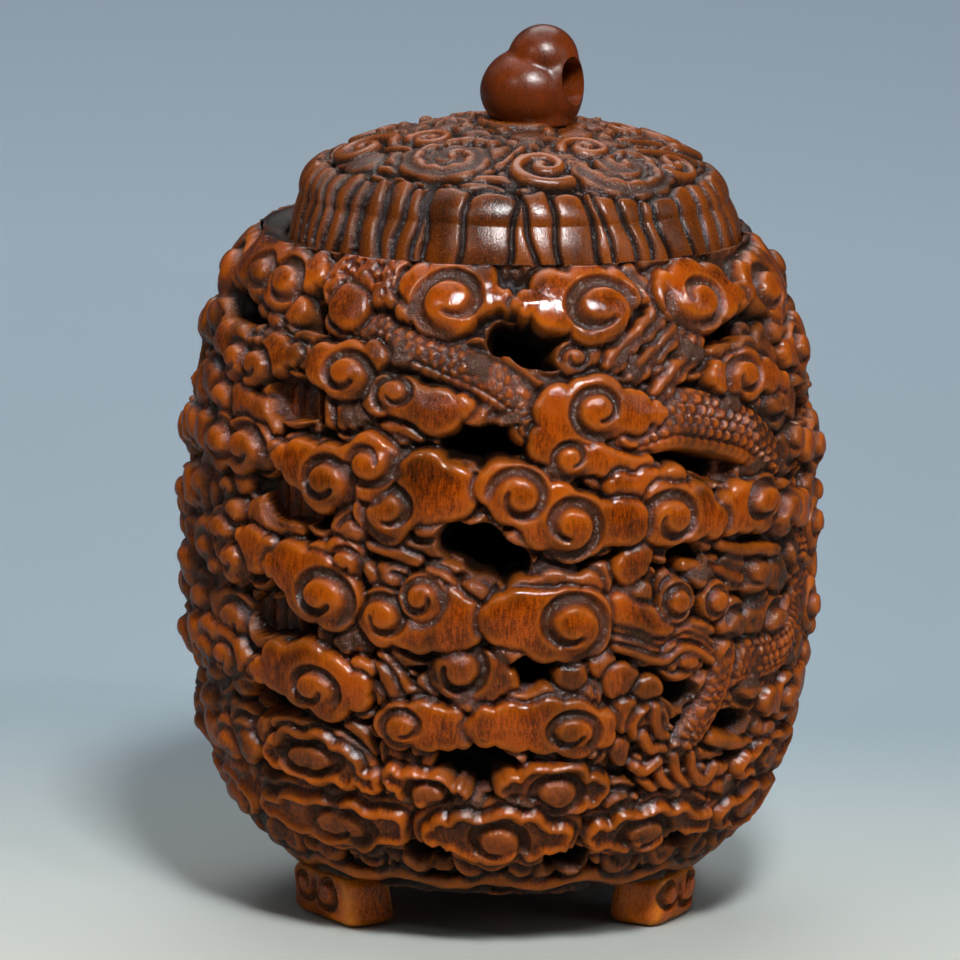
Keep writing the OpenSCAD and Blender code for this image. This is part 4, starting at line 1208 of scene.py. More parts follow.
    def marks_of(self, depth: np.ndarray, stain_and_shade: np.ndarray, floors: np.ndarray) -> Dict[str, np.ndarray]:
        """The values that the colours of the wood follow.

        Args:
            depth: The depth map, in mm.
            stain_and_shade: The darkening for wax residue and painted shade, from 0 to 1.
            floors: The bare pit floors, from 0 to 1.

        Returns:
            The values from 0 to 1, by the name of their point attribute.
        """
        # height and hollow make deep places and cavities darker: painted shade.
        near = blur(depth, 0.5 / self.row_mm, 0.5 / self.column_mm)
        wide = blur(depth, 1.6 / self.row_mm, 1.6 / self.column_mm)
        hollow = np.clip((near - depth) / 0.5, 0, 1) + 0.6 * np.clip((wide - depth) / 1.6, 0, 1)
        return {
            "height": np.clip((depth + 2.6) / 2.6 + 0.75 * floors, 0, 1),
            "hollow": np.clip(hollow, 0, 1) * (1 - 0.7 * floors),
            "edge": np.clip((depth - near) / 0.22, 0, 1),
            "stain_and_shade": stain_and_shade,
        }

    def mouth(self) -> Sequence[Lobe]:
        """The rings from the rim over the seat to the cavity.

        Returns:
            Radius, height and shift of each ring, in mm.
        """
        shift = self.mouth_shift
        return ((23.7, 66.4, 0.2), (23.2, 66.3, 0.5), (22.8, 66.05, 0.9), (self.seat_r, 65.75, shift),
                (self.seat_r, self.seat_z + 0.15, shift), (self.seat_r - 0.15, self.seat_z, shift),
                (self.mouth_r + 0.15, self.seat_z, shift), (self.mouth_r, self.seat_z - 0.15, shift),
                (self.mouth_r, self.under_z + 0.15, shift), (self.mouth_r + 0.15, self.under_z, shift),
                (21.6, 60.6, 0.3))

    def underside(self) -> Sequence[Lobe]:
        """The rings from the cavity through the floor's bore to the base.

        Returns:
            Radius, height and shift of each ring, in mm.
        """
        return ((self.floor_r, self.floor_z + 0.2, 0), (self.floor_r - 0.2, self.floor_z, 0),
                (self.bore_r + 0.1, self.floor_z, 0), (self.bore_r, self.floor_z - 0.1, 0),
                (self.bore_r, self.rebate_z + 0.1, 0), (self.bore_r + 0.1, self.rebate_z, 0),
                (self.rebate_r - 0.1, self.rebate_z, 0), (self.rebate_r, self.rebate_z - 0.1, 0),
                (self.rebate_r, self.base_z + 0.1, 0), (self.rebate_r + 0.1, self.base_z, 0),
                (19.4, self.base_z, 0))

    def build(self) -> List[bpy.types.Object]:
        """Make the barrel.

        Returns:
            Its sectors.
        """
        self.profile()
        depth, stain_and_shade, floors = (np.concatenate([half, half], axis=1) for half in self.carve())
        columns = depth.shape[1]
        angles = np.radians(np.arange(columns) * (180.0 / self.half_columns) - 90.0)
        marks = self.marks_of(depth, stain_and_shade, floors)
        top = int(np.searchsorted(self.heights, self.cavity_high))
        bottom = int(np.searchsorted(self.heights, self.cavity_low))
        top = bottom + (top - bottom) // self.block * self.block
        inner = np.arange(top, bottom - 1, -1)
        cut = depth < -self.cut_depth
        cut[: bottom + 1] = False
        cut[top:] = False
        turned = np.degrees(angles)
        cut[:, np.abs(turned - self.blind_at) < self.blind_half] = False
        depth[cut] = -self.thickness
        outer = ring_at(self.radii[:, None] + depth * self.outward[:, None],
                        self.heights[:, None] + depth * self.upward[:, None], angles[None, :], 0.0)
        cavity = ring_at((self.radii - self.thickness * self.outward)[inner, None] + 0 * depth[inner],
                         (self.heights - self.thickness * self.upward)[inner, None] + 0 * depth[inner],
                         angles[None, :], 0.0)
        lip = self.mouth()
        foot = self.underside()
        lip_rings = np.stack([ring_at(np.full(columns, r), z, angles, s) for r, z, s in lip])
        foot_rings = np.stack([ring_at(np.full(columns, r), z, angles, s) for r, z, s in foot])
        places = np.concatenate([outer, lip_rings, cavity, foot_rings])
        # The mouth, cavity and underside get fixed dark values: painted shade inside the barrel.
        plain = {"height": 0.1, "hollow": 0.4, "edge": 0.0, "stain_and_shade": 0.6}
        for mark, values in marks.items():
            rest = np.full((len(lip) + len(inner) + len(foot), columns), plain[mark])
            # The rim's rings darken towards the lid's seat: painted shade in the gap by the lid.
            if mark == "stain_and_shade":
                rest[:4] = np.array([[0.1], [0.25], [0.4], [0.9]])
            marks[mark] = np.concatenate([values, rest])
        grid = TurnedGrid(places, marks)
        first_inner = self.row_count + len(lip)
        inner_rows = np.arange(first_inner, first_inner + len(inner))
        pierced = cut[inner]
        numbers = grid.numbers
        numbers[inner_rows] = np.where(pierced, numbers[inner], numbers[inner_rows])
        return self.sectors_of(grid, cut, pierced, first_inner)

    def sectors_of(self, grid: TurnedGrid, cut: np.ndarray, pierced: np.ndarray,
                   first_inner: int) -> List[bpy.types.Object]:
        """Split the barrel's grid into sectors.

        Args:
            grid: The whole grid.
            cut: True where the outer surface is pierced.
            pierced: The same for the rings of the cavity, from the top down.
            first_inner: The ring at which the cavity starts.

        Returns:
            One object for each sector.
        """
        def whole(mask: np.ndarray) -> np.ndarray:
            """True for the cells whose four corners are all marked."""
            beside = np.roll(mask, -1, axis=1)
            return mask[:-1] & mask[1:] & beside[:-1] & beside[1:]

        open_out = whole(cut)
        open_in = whole(pierced)
        tall = (len(pierced) - 1) // self.block
        across = grid.columns // self.block
        fine = np.zeros((tall, across), dtype=bool)
        touched = pierced | np.roll(pierced, -1, axis=1) | np.roll(pierced, 1, axis=1)
        for i in range(tall):
            rows = touched[i * self.block: (i + 1) * self.block + 1]
            fine[i] = rows.any(axis=0).reshape(across, self.block).any(axis=1)
        width = grid.columns // self.sectors
        things = []
        for sector in range(self.sectors):
            columns = np.arange(sector * width, (sector + 1) * width)
            rings = np.arange(grid.rings)
            last_inner = first_inner + len(pierced) - 1
            solid = (rings < first_inner) | (rings >= last_inner)
            ring, column = np.meshgrid(rings[solid], columns, indexing="ij")
            ring, column = ring.ravel(), column.ravel()
            shown = np.ones(len(ring), dtype=bool)
            out = ring < len(open_out)
            shown[out] = ~open_out[ring[out], column[out]]
            quads = [grid.quads(ring[shown], column[shown])]
            sides: Dict[int, List[np.ndarray]] = {}
            for i in range(tall):
                for j in range(sector * width // self.block, (sector + 1) * width // self.block):
                    face = self.cavity_cell(i, j, fine, open_in, first_inner)
                    for corners in face:
                        sides.setdefault(len(corners), []).append(corners)
            groups = quads + [np.array(group) for group in sides.values()]
            things.append(grid.piece(f"carved_wall_{sector + 1}", groups))
        return things

    def cavity_cell(self, i: int, j: int, fine: np.ndarray, open_in: np.ndarray,
                    first: int) -> List[List[Tuple[int, int]]]:
        """Faces of one block of the cavity: small cells by a hole, else one wide face.

        Args:
            i: The block's row, from the top.
            j: The block's column.
            fine: True for blocks that are made of small cells.
            open_in: True for small cells that a hole takes away.
            first: The ring at which the cavity starts.

        Returns:
            The corners of each face, as ring and column.
        """
        step = self.block
        top, left = i * step, j * step
        if fine[i, j]:
            return [[(first + r, c), (first + r, c + 1), (first + r + 1, c + 1), (first + r + 1, c)]
                    for r in range(top, top + step) for c in range(left, left + step)
                    if not open_in[r, c]]
        tall, across = fine.shape
        dense_up = i == 0 or fine[i - 1, j]
        dense_down = i == tall - 1 or fine[i + 1, j]
        dense_left = fine[i, (j - 1) % across]
        dense_right = fine[i, (j + 1) % across]
        corners = [(top, left + k) for k in range(0, step, 1 if dense_up else step)]
        corners += [(top + k, left + step) for k in range(0, step, 1 if dense_right else step)]
        corners += [(top + step, left + step - k) for k in range(0, step, 1 if dense_down else step)]
        corners += [(top + step - k, left) for k in range(0, step, 1 if dense_left else step)]
        return [[(first + r, c) for r, c in corners]]

    def dress(self, things: Sequence[bpy.types.Object]) -> None:
        """Give the sectors their wood and their place in the frame.

        Args:
            things: The sectors.
        """
        wood = BARREL_WOOD.build()
        for thing in things:
            thing.data.materials.append(wood)
            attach(thing, "cage_body")
            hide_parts("pierced_wall", "cloud_relief")


@dataclass
class PleatedLid:
    """The domed lid with its pleated edge and carved dome, in mm."""

    edge_r: float = 22.0
    seat_z: float = 65.0
    edge_h: float = 4.6
    edge_draw: float = 1.4
    dome_rise: float = 7.6
    dome_power: float = 0.5
    wall: float = 2.2
    spigot_r: float = 19.25
    spigot_wall: float = 2.0
    spigot_h: float = 3.0
    shift: float = 1.2
    knob_shift: float = 1.2
    pin_r: float = 1.34
    fullness: float = 0.8
    full_at: Point = (-90.0, 7.0)
    full_half: Point = (42.0, 3.2)
    ground: float = 0.9
    deepest: float = 1.5
    highest: float = 0.35
    spiral_turns: float = 1.4
    spiral_steps: int = 20
    filler_level: float = 0.4
    filler_rows: Sequence[Tuple[float, int]] = ((10.9, 17), (13.7, 20), (16.5, 24), (19.2, 30),
                                                (21.4, 40))
    row_count: int = 172
    columns: int = 1000
    halves: int = 2

    def section(self) -> Tuple[np.ndarray, np.ndarray]:
        """Radius and height along the outer section, from the edge to the pin.

        Returns:
            The radii and the heights, in mm.
        """
        shoulder_r = self.edge_r - self.edge_draw
        band = np.linspace(0, 1, 200)
        radius = self.edge_r - self.edge_draw * band**2
        height = self.seat_z + self.edge_h * band
        turn = np.linspace(0, math.pi / 2, 800)[1:]
        dome_r = shoulder_r * np.cos(turn)
        dome_z = self.seat_z + self.edge_h + self.dome_rise * (
            1 - (dome_r / shoulder_r) ** 2) ** self.dome_power
        keep = dome_r > self.pin_r
        return np.concatenate([radius, dome_r[keep]]), np.concatenate([height, dome_z[keep]])

    def axis_at(self, radius: np.ndarray) -> np.ndarray:
        """How far right a ring's middle is: the innermost ring goes round the knob's pin."""
        return self.shift + self.knob_shift * ease((6.0 - np.asarray(radius)) / 4.6)

    def pleats(self, wood: CarvedField) -> None:
        """Cut the wavy pleats of the edge band.

        Args:
            wood: The lid's map.
        """
        edges = np.array(PLEAT_EDGES, dtype=float)
        ring = np.concatenate([edges, [edges[0] + 360]])
        angles = wood.first + np.arange(wood.columns) * wood.step
        turned = np.mod(angles - edges[0], 360) + edges[0]
        slant = wood.rows[:, None]
        leans = np.random.default_rng(21).uniform(-0.3, 0.3, len(ring)) - 0.4 * (np.abs(ring - 30) < 28)
        leans[-1] = leans[0]
        tilts = np.random.default_rng(22).uniform(-0.4, 0.5, len(ring)) + 0.6 * (ring < -20)
        shape = np.full(wood.depth.shape, -9.0)
        groove = np.full(wood.depth.shape, 99.0)
        for index, (start, end) in enumerate(zip(ring, ring[1:])):
            low = start + leans[index] * (slant - 2.5) + 0.4 * np.sin(slant * 1.1 + index)
            high = end + leans[index + 1] * (slant - 2.5) + 0.4 * np.sin(slant * 1.1 + index + 1)
            share = (turned[None, :] - low) / (high - low)
            inside = (share >= 0) & (share <= 1)
            width = np.radians(high - low) * wood.radius[:, None]
            beside = np.minimum(share, 1 - share) * width
            arch = np.sqrt(np.clip(1 - (2 * share - 1) ** 2, 0, 1))
            top = 7.9 + 1.3 * arch + 0.6 * math.sin(index * 2.1)
            swell = -0.12 - 0.25 * np.abs(2 * share - 1) ** 3 + tilts[index] * (share - 0.5)
            end_drop = -0.45 * ease((slant - top + 0.5) / 0.6)
            shape = np.where(inside, swell + end_drop, shape)
            groove = np.where(inside, np.minimum(beside, 0.25 + np.abs(top - slant)), groove)
        # The pleat grooves are darkened: painted shade.
        line = np.exp(-((groove / 0.22) ** 2))
        shape = shape - 0.65 * line
        band = ease((10.4 - slant) / 0.8)
        wood.depth = np.where(shape > -8, shape * band + wood.depth * (1 - band), wood.depth)
        wood.stain_and_shade = np.where(shape > -8, line * band + wood.stain_and_shade * (1 - band), wood.stain_and_shade)

    def spiral(self, scroll: Scroll, wood: CarvedField) -> Fold:
        """A raised cord that winds out from a scroll's eye on the dome.

        Args:
            scroll: The scroll.
            wood: The lid's map.

        Returns:
            The cord.
        """
        around = math.degrees(scroll.stretch / float(np.interp(scroll.height, wood.rows, wood.radius)))
        path = []
        for step in range(self.spiral_steps + 1):
            share = step / self.spiral_steps
            wound = scroll.turn.value * 2 * math.pi * self.spiral_turns * share
            turned = math.radians(scroll.start) + wound
            reach = scroll.radius * (0.2 + 1.7 * share)
            path.append((scroll.angle + around * reach * math.cos(turned),
                         scroll.height + reach * math.sin(turned)))
        return Fold(scroll.radius * -0.06, 0.47 * scroll.radius, path)

    def carve(self, wood: CarvedField) -> None:
        """Carve the dome: small clouds all over it, then its clouds, folds and raised scrolls.

        Args:
            wood: The lid's map.
        """
        for row, (height, step) in enumerate(self.filler_rows):
            for column, angle in enumerate(range(-180 + 9 * (row % 2), 180, step)):
                left, right = angle - step / 4, angle + step / 4
                wide = 1.1 + 0.12 * step / 10
                lobes = ((left, height - 0.3, wide), (right, height + 0.3, 1.5))
                scroll = Scroll(right, height + 0.3, 0.85, 90 * ((row + column) % 4))
                wood.cloud(Cloud(self.filler_level, lobes, (scroll,)))
        for cloud in DOME_CLOUDS:
            wood.cloud(Cloud(cloud.level + 0.4, cloud.lobes))
        for fold in DOME_FOLDS:
            wood.fold(fold)
        for scroll in (scroll for cloud in DOME_CLOUDS for scroll in cloud.scrolls):
            wood.fold(self.spiral(scroll, wood))

    def underside(self) -> List[Point]:
        """The rings from the pin along the roof, over the spigot and to the edge.

        Returns:
            Radius and height of each ring, in mm.
        """
        inner_r = self.spigot_r - self.spigot_wall
        low = self.seat_z - self.spigot_h
        inside_r = np.array([16.6, 14.0, 11.0, 8.0, 5.0, 2.6, self.pin_r])
        shoulder_r = self.edge_r - self.edge_draw
        roof = self.seat_z + self.edge_h + self.dome_rise * (
            1 - (inside_r / shoulder_r) ** 2) ** self.dome_power - self.wall
        under = list(zip(inside_r[::-1], roof[::-1]))
        return under + [(inner_r, roof[0] - 0.5), (inner_r, low + 0.2), (inner_r + 0.2, low),
                        (self.spigot_r - 0.2, low), (self.spigot_r, low + 0.2),
                        (self.spigot_r, self.seat_z - 0.1), (self.spigot_r + 0.1, self.seat_z),
                        (self.edge_r - 1.2, self.seat_z)]

    def build(self) -> List[bpy.types.Object]:
        """Make the lid.

        Returns:
            Its two halves.
        """
        radius, height = self.section()
        length = np.concatenate([[0], np.cumsum(np.hypot(np.diff(radius), np.diff(height)))])
        slant = np.linspace(0, length[-1], self.row_count)
        radii = np.interp(slant, length, radius)
        heights = np.interp(slant, length, height)
        out_r, out_z = np.gradient(heights, slant), -np.gradient(radii, slant)
        out_r = blur(out_r[:, None] + np.zeros((1, 4)), 2.0, 0.0)[:, 0]
        out_z = blur(out_z[:, None] + np.zeros((1, 4)), 2.0, 0.0)[:, 0]
        out_z[:8] = out_z[:8] * ease(np.arange(8) / 7)
        wood = CarvedField(slant, radii, self.columns, 360.0, np.full(self.row_count, self.ground))
        wood.depth += 0.08 * wood.noise(0.9, 31)
        self.pleats(wood)
        self.carve(wood)
        near_pin = ease((radii - 4.2) / 0.5)[:, None]
        turned = wood.first + np.arange(self.columns) * wood.step
        beside = np.exp(-(((turned - self.full_at[0]) / self.full_half[0]) ** 2))
        above = np.exp(-(((slant - self.full_at[1]) / self.full_half[1]) ** 2))
        full = beside[None, :] * above[:, None]
        depth = np.clip(wood.depth, -self.deepest, self.highest) * near_pin
        depth = wood.soften(depth, 0.07)
        near = wood.soften(depth, 0.45)
        wide = wood.soften(depth, 1.4)
        # height and hollow make deep places and cavities of the dome darker: painted shade, with wax
        # residue in the darkened cuts.
        marks = {
            "height": np.clip((depth + 1.1) / 1.1, 0, 1),
            "hollow": np.clip(np.clip((near - depth) / 0.35, 0, 1)
                              + 0.5 * np.clip((wide - depth) / 0.8, 0, 1), 0, 1),
            "edge": np.clip((depth - near) / 0.16, 0, 1),
            "stain_and_shade": np.clip(wood.soften(wood.stain_and_shade * near_pin, 0.12), 0, 1),
        }
        depth = depth + self.fullness * full
        angles = np.radians(turned)
        outer = ring_at(radii[:, None] + depth * out_r[:, None],
                        heights[:, None] + depth * out_z[:, None], angles[None, :],
                        self.axis_at(radii)[:, None])
        under = self.underside()
        rings = np.stack([ring_at(np.full(self.columns, r), z, angles, self.axis_at(r))
                          for r, z in under])
        # The lid's underside gets fixed, slightly darkened values: painted shade.
        plain = {"height": 0.4, "hollow": 0.2, "edge": 0.0, "stain_and_shade": 0.1}
        for mark, values in marks.items():
            rest = np.full((len(under), self.columns), plain[mark])
            marks[mark] = np.concatenate([values, rest])
        grid = TurnedGrid(np.concatenate([outer, rings]), marks)
        things = []
        width = self.columns // self.halves
        for part in range(self.halves):
            ring, column = np.meshgrid(np.arange(grid.rings), np.arange(part * width, (part + 1) * width),
                                       indexing="ij")
            faces = grid.quads(ring.ravel(), column.ravel())
            things.append(grid.piece(f"pleated_lid_{part + 1}", [faces]))
        return things

    def dress(self, things: Sequence[bpy.types.Object]) -> None:
        """Give the lid its wood and its place in the frame.

        Args:
            things: The two halves.
        """
        wood = LID_WOOD.build()
        for thing in things:
            thing.data.materials.append(wood)
            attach(thing, "lid_body")
            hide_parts("lid", "dome_clouds")


@dataclass
class LobedKnob:
    """The polished knob: a ball, a bud that leans off it, and an eye for a cord, in mm."""

    middle: float = 2.4
    base_z: float = 76.6
    neck_r: float = 3.7
    neck_h: float = 3.0
    lobes: Sequence[Tuple[Place, Place]] = (
        ((2.2, 0.0, 79.7), (4.75, 4.6, 4.2)),
        ((4.5, 0.0, 80.2), (3.0, 3.7, 4.6)),
        ((3.5, 0.0, 82.7), (3.45, 3.3, 3.45)),
    )
    eye_r: float = 1.7
    eye_z: float = 81.0
    eye_turn: float = -18.0
    mouth_size: Place = (1.9, 2.4, 2.6)
    mouth_front: float = 0.7
    voxel: float = 0.16

    def ball(self, place: Place, size: Place) -> bpy.types.Object:
        """Add one round lobe.

        Args:
            place: Its middle, in mm.
            size: Its three half widths, in mm.

        Returns:
            The lobe.
        """
        spot = Vector(place) * MM
        bpy.ops.mesh.primitive_uv_sphere_add(segments=64, ring_count=32, radius=MM, location=spot)
        bpy.context.object.scale = size
        return bpy.context.object

    def apply(self, knob: bpy.types.Object, name: str) -> None:
        """Apply one modifier to the knob alone.

        Args:
            knob: The knob.
            name: The modifier's name.
        """
        bpy.ops.object.select_all(action="DESELECT")
        knob.select_set(True)
        bpy.context.view_layer.objects.active = knob
        bpy.ops.object.modifier_apply(modifier=name)

    def drill(self, knob: bpy.types.Object) -> None:
        """Drill the eye, with mouths that the cord has worn wider.

        Args:
            knob: The knob.
        """
        turn = math.radians(self.eye_turn)
        along = Vector((math.cos(turn), math.sin(turn), 0))
        middle = Vector((self.middle, 0, self.eye_z)) * MM
        front = Vector((along.y, -along.x, 0))
        for name, shift, ahead in (("eye", 0.0, 0.0), ("left_mouth", -5.2, 0.0),
                                   ("right_mouth", 5.0, self.mouth_front)):
            if name == "eye":
                bpy.ops.mesh.primitive_cylinder_add(vertices=64, radius=self.eye_r * MM, depth=30 * MM)
            else:
                bpy.ops.mesh.primitive_uv_sphere_add(segments=48, ring_count=24, radius=MM)
                bpy.context.object.scale = self.mouth_size
            tool = bpy.context.object
            tool.location = middle + (along * shift + front * ahead) * MM
            tool.rotation_euler = along.to_track_quat("Z", "Y").to_euler()
            cut = knob.modifiers.new(name, "BOOLEAN")
            cut.operation = "DIFFERENCE"
            cut.object = tool
            self.apply(knob, name)
            bpy.data.objects.remove(tool)

    def build(self) -> bpy.types.Object:
        """Make the knob.

        Returns:
            The finished piece.
        """
        bpy.ops.object.select_all(action="DESELECT")
        parts = [self.ball(place, size) for place, size in self.lobes]
        bpy.ops.mesh.primitive_cone_add(vertices=64, radius1=self.neck_r * MM, radius2=self.neck_r * MM,
                                        depth=self.neck_h * MM,
                                        location=((self.middle + 0.6) * MM, 0, (self.base_z + 1.4) * MM))
        parts.append(bpy.context.object)
        for part in parts:
            part.select_set(True)
        bpy.context.view_layer.objects.active = parts[0]
        bpy.ops.object.transform_apply(location=True, rotation=True, scale=True)
        bpy.ops.object.join()
        knob = bpy.context.object
        knob.name = "lobed_knob"
        knob.data.name = "lobed_knob"
        remesh = knob.modifiers.new("join", "REMESH")
        remesh.mode = "VOXEL"
        remesh.voxel_size = self.voxel * MM
        soft = knob.modifiers.new("polish", "SMOOTH")
        soft.factor = 0.5
        soft.iterations = 16
        self.apply(knob, "join")
        self.apply(knob, "polish")
        self.drill(knob)
        bpy.ops.object.shade_smooth_by_angle(angle=math.radians(40))
        return knob

    def dress(self, knob: bpy.types.Object) -> None:
        """Give the knob its wood and its place in the frame.

        Args:
            knob: The finished piece.
        """
        knob.data.materials.append(KNOB_WOOD.build())
        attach(knob, "lid_body")
        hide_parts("knob")


@dataclass
class BracketFoot:
    """One short bracket foot with rounded corners and a carved scroll, in mm."""

    node: str
    azimuth: float
    width: float
    height: float = 5.2
    deep: float = 5.8
    face_r: float = 20.1
    rounding: Place = (1.7, 1.5, 1.3)
    cuts: int = 50

    def build(self) -> bpy.types.Object:
        """Make the foot.

        Returns:
            The finished piece.
        """
        bpy.ops.object.select_all(action="DESELECT")
        bpy.ops.mesh.primitive_cube_add(size=2.0)
        foot = bpy.context.object
        foot.name = f"carved_{self.node}"
        foot.data.name = foot.name
        bpy.ops.object.mode_set(mode="EDIT")
        bpy.ops.mesh.select_all(action="SELECT")
        bpy.ops.mesh.subdivide(number_cuts=self.cuts)
        bpy.ops.object.mode_set(mode="OBJECT")
        flat = np.empty(len(foot.data.vertices) * 3)
        foot.data.vertices.foreach_get("co", flat)
        shaped, marks = self.shape(flat.reshape(-1, 3))
        foot.data.vertices.foreach_set("co", (shaped * MM).ravel())
        for mark, values in marks.items():
            layer = foot.data.attributes.new(mark, "FLOAT", "POINT")
            layer.data.foreach_set("value", values.astype(np.float32))
        foot.data.update()
        bpy.ops.object.shade_smooth()
        return foot

    def shape(self, unit: np.ndarray) -> Tuple[np.ndarray, Dict[str, np.ndarray]]:
        """Turn the points of a cube into the foot.

        Args:
            unit: The cube's points, from -1 to 1: across, outward and up.

        Returns:
            The points in mm, and the values of the point attributes.
        """
        half = np.array([self.width / 2, self.deep / 2, self.height / 2])
        point = unit * half
        rounding = np.array(self.rounding)
        core = np.clip(point, -(half - rounding), half - rounding)
        off = (point - core) / rounding
        length = np.linalg.norm(off, axis=1, keepdims=True)
        box = np.maximum(np.abs(off).max(axis=1, keepdims=True), 1e-9)
        off = np.where(length > 1e-9, off / np.maximum(length, 1e-9) * box, off)
        point = core + off * rounding
        up = (point[:, 2] + half[2]) / self.height
        across, outward = point[:, 0], point[:, 1]
        front = ease((outward - half[1] + 1.5) / 1.0)
        level = point[:, 2] - 0.5
        right, right_gouge = scroll_cut((across - 1.6) / 1.1, level, 1.15, 200, Turn.RIGHT)
        left, left_gouge = scroll_cut((across + 2.1) / 1.1, level - 0.1, 1.0, -20, Turn.LEFT)
        # The scroll gouges are darkened: wax residue with painted shade.
        stain_and_shade = front * np.maximum(right_gouge, left_gouge)
        carved = front * np.where(across > -0.2, right, left)
        outward = outward + 0.8 * carved + 0.7 * up**2
        across = across * (1.03 - 0.06 * up) * (1 + 0.05 * ease((0.5 - up) / 0.4))
        radius = self.face_r - half[1] + outward
        turn = math.radians(self.azimuth)
        x = radius * math.sin(turn) + across * math.cos(turn)
        y = -radius * math.cos(turn) + across * math.sin(turn)
        edge = np.clip((length[:, 0] - 1.0) / 0.4, 0, 1)
        # hollow darkens the deeper parts of the gouges: painted shade.
        marks = {"height": np.full(len(x), 0.75), "hollow": np.clip(-carved, 0, 1), "edge": edge,
                 "stain_and_shade": np.clip(1.3 * stain_and_shade, 0, 1)}
        return np.stack([x, y, up * self.height], axis=1), marks

    def dress(self, foot: bpy.types.Object, wood: bpy.types.Material) -> None:
        """Give the foot its wood and its place in the frame.

        Args:
            foot: The finished piece.
            wood: The feet's material.
        """
        foot.data.materials.append(wood)
        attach(foot, "cage_body")
        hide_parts(self.node)


FEET = (
    BracketFoot("foot_front_right", 63.0, 8.4),
    BracketFoot("foot_rear", 183.0, 9.2),
    BracketFoot("foot_front_left", 303.0, 10.4),
)


@dataclass(frozen=True)
class Lamp:
    """A square lamp: its place, width and aim in m, its power in W and its spread in degrees."""

    name: str
    place: Place
    size: float
    power: float
    aim: Place = (0.0, 0.0, 0.04)
    spread: float = 180.0

    def hang(self) -> None:
        """Hang the lamp where it belongs."""
        data = bpy.data.lights.new(self.name, "AREA")
        data.size = self.size
        data.energy = self.power
        data.spread = math.radians(self.spread)
        lamp = bpy.data.objects.new(self.name, data)
        lamp.location = self.place
        facing = Vector(self.aim) - Vector(self.place)
        lamp.rotation_euler = facing.to_track_quat("-Z", "Y").to_euler()
        bpy.context.scene.collection.objects.link(lamp)


LAMPS = (
    Lamp("key", (0.12, -0.58, 0.7), 0.14, 0.38, spread=40.0),
    Lamp("left_spark", (-0.42, -0.5, 0.5), 0.025, 0.016, spread=40.0),
    Lamp("right_spark", (0.36, -0.6, 0.62), 0.035, 0.05, spread=40.0),
    Lamp("fill", (-0.1, 0.15, 0.8), 0.7, 1.35),
    Lamp("side", (0.75, -0.3, 0.4), 0.4, 0.4),
    Lamp("back", (-0.6, 0.4, 0.6), 0.5, 0.15),
    Lamp("ground", (0.0, 0.75, 0.9), 0.8, 4.9, (0.0, 0.75, 0.0)),
)
FLOOR_COLOURS = ((0.0, (198, 201, 193)), (0.28, (146, 164, 174)), (1.0, (172, 192, 208)))
FLOOR_IN_WAX = (70, 60, 50)
WORLD_COLOUR = (190, 196, 202)


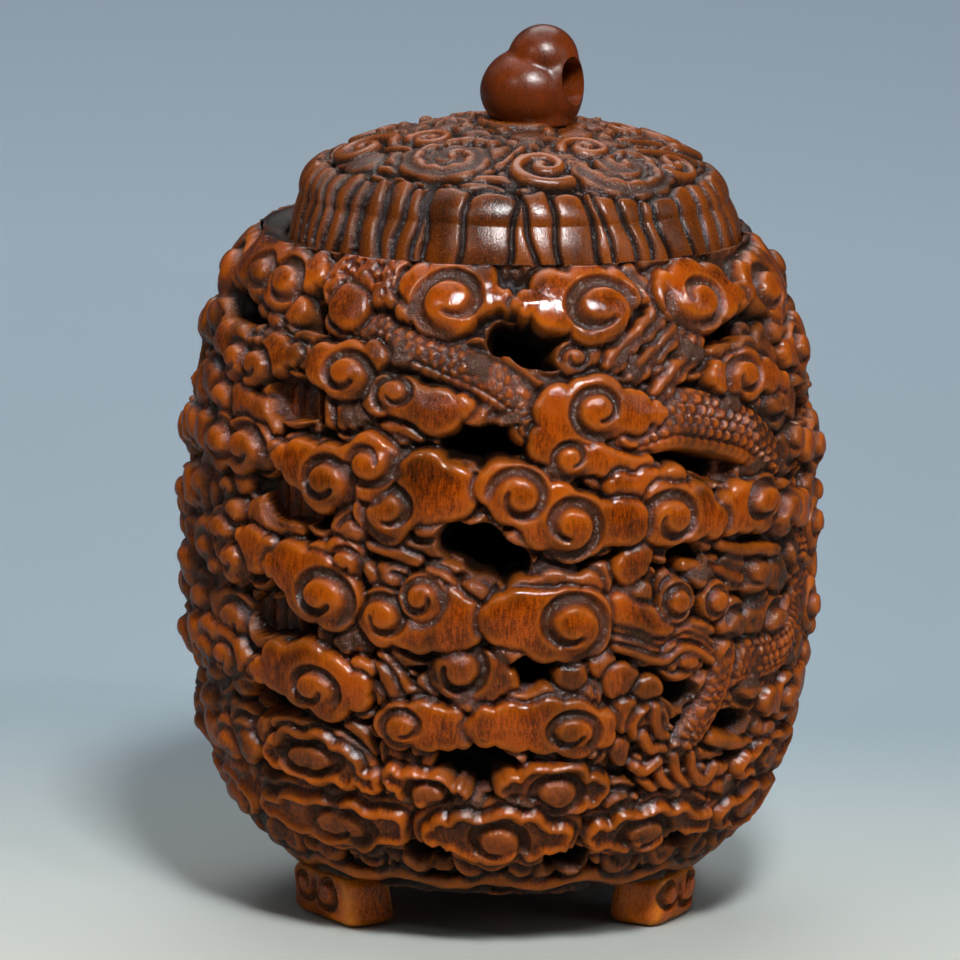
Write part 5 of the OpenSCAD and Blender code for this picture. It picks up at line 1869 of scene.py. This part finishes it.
@dataclass
class Studio:
    """The plain floor, the soft light and the camera."""

    distance: float = 0.8
    elevation: float = 10.5
    aim: Place = (-0.00194, 0.0, 0.0415)
    lens: float = 309.0
    roll: float = 0.9
    world_strength: float = 0.08

    def floor(self) -> None:
        """Lay the floor."""
        bpy.ops.object.select_all(action="DESELECT")
        bpy.ops.mesh.primitive_plane_add(size=6.0)
        floor = bpy.context.object
        floor.name = "floor"
        shade = Shade("studio_floor")
        place = shade.node("ShaderNodeTexCoord", {}).outputs["Object"]
        split = shade.node("ShaderNodeSeparateXYZ", {0: place})
        far = shade.scaled(split.outputs["Y"], 2.2, 0.1)
        colour = shade.ramp(far, FLOOR_COLOURS)
        glossy = shade.node("ShaderNodeLightPath", {}).outputs["Is Glossy Ray"]
        colour = shade.mix(shade.math("MULTIPLY", glossy, 0.8), colour, linear(FLOOR_IN_WAX))
        floor.data.materials.append(shade.surface({"Base Color": colour, "Roughness": 0.8}))

    def light(self) -> None:
        """Set the lamps and the world."""
        for lamp in LAMPS:
            lamp.hang()
        world = bpy.data.worlds.new("studio")
        world.use_nodes = True
        bpy.context.scene.world = world
        back = world.node_tree.nodes["Background"]
        back.inputs[0].default_value = linear(WORLD_COLOUR)
        back.inputs[1].default_value = self.world_strength
        bpy.context.scene.view_settings.view_transform = "Standard"

    def camera(self) -> None:
        """Set the camera where the photograph was taken from."""
        data = bpy.data.cameras.new("camera")
        data.lens = self.lens
        data.sensor_width = 36.0
        data.clip_start = 0.01
        camera = bpy.data.objects.new("camera", data)
        tilt = math.radians(self.elevation)
        aim = Vector(self.aim)
        camera.location = aim + self.distance * Vector((0, -math.cos(tilt), math.sin(tilt)))
        facing = (aim - camera.location).to_track_quat("-Z", "Y").to_matrix()
        camera.rotation_euler = (facing @ Matrix.Rotation(math.radians(self.roll), 3, "Z")).to_euler()
        bpy.context.scene.collection.objects.link(camera)
        bpy.context.scene.camera = camera


def write_sizes() -> None:
    """Define a helper that turns a box into plain lists of numbers."""
    def plain(box: Sequence) -> List[List[float]]:
        """A box as plain lists of numbers."""
        return [[float(value) for value in corner] for corner in box]


def main() -> None:
    """Build the cage piece by piece."""
    logging.basicConfig(level=logging.INFO, format="%(message)s")
    studio = Studio()
    studio.camera()
    barrel = CarvedBarrel()
    barrel.dress(barrel.build())
    LOG.info("carved barrel made")
    lid = PleatedLid()
    lid.dress(lid.build())
    LOG.info("pleated lid made")
    knob = LobedKnob()
    knob.dress(knob.build())
    LOG.info("knob made")
    foot_wood = FOOT_WOOD.build()
    for foot in FEET:
        foot.dress(foot.build(), foot_wood)
        LOG.info("%s made", foot.node)
    inside = FLOOR_WOOD.build()
    for node in ("floor_disc", "knob_dowel"):
        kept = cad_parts[node]
        kept.data.materials.clear()
        kept.data.materials.append(inside)
        LOG.info("%s kept", node)
    studio.floor()
    studio.light()
    write_sizes()


if __name__ == "__main__":
    main()
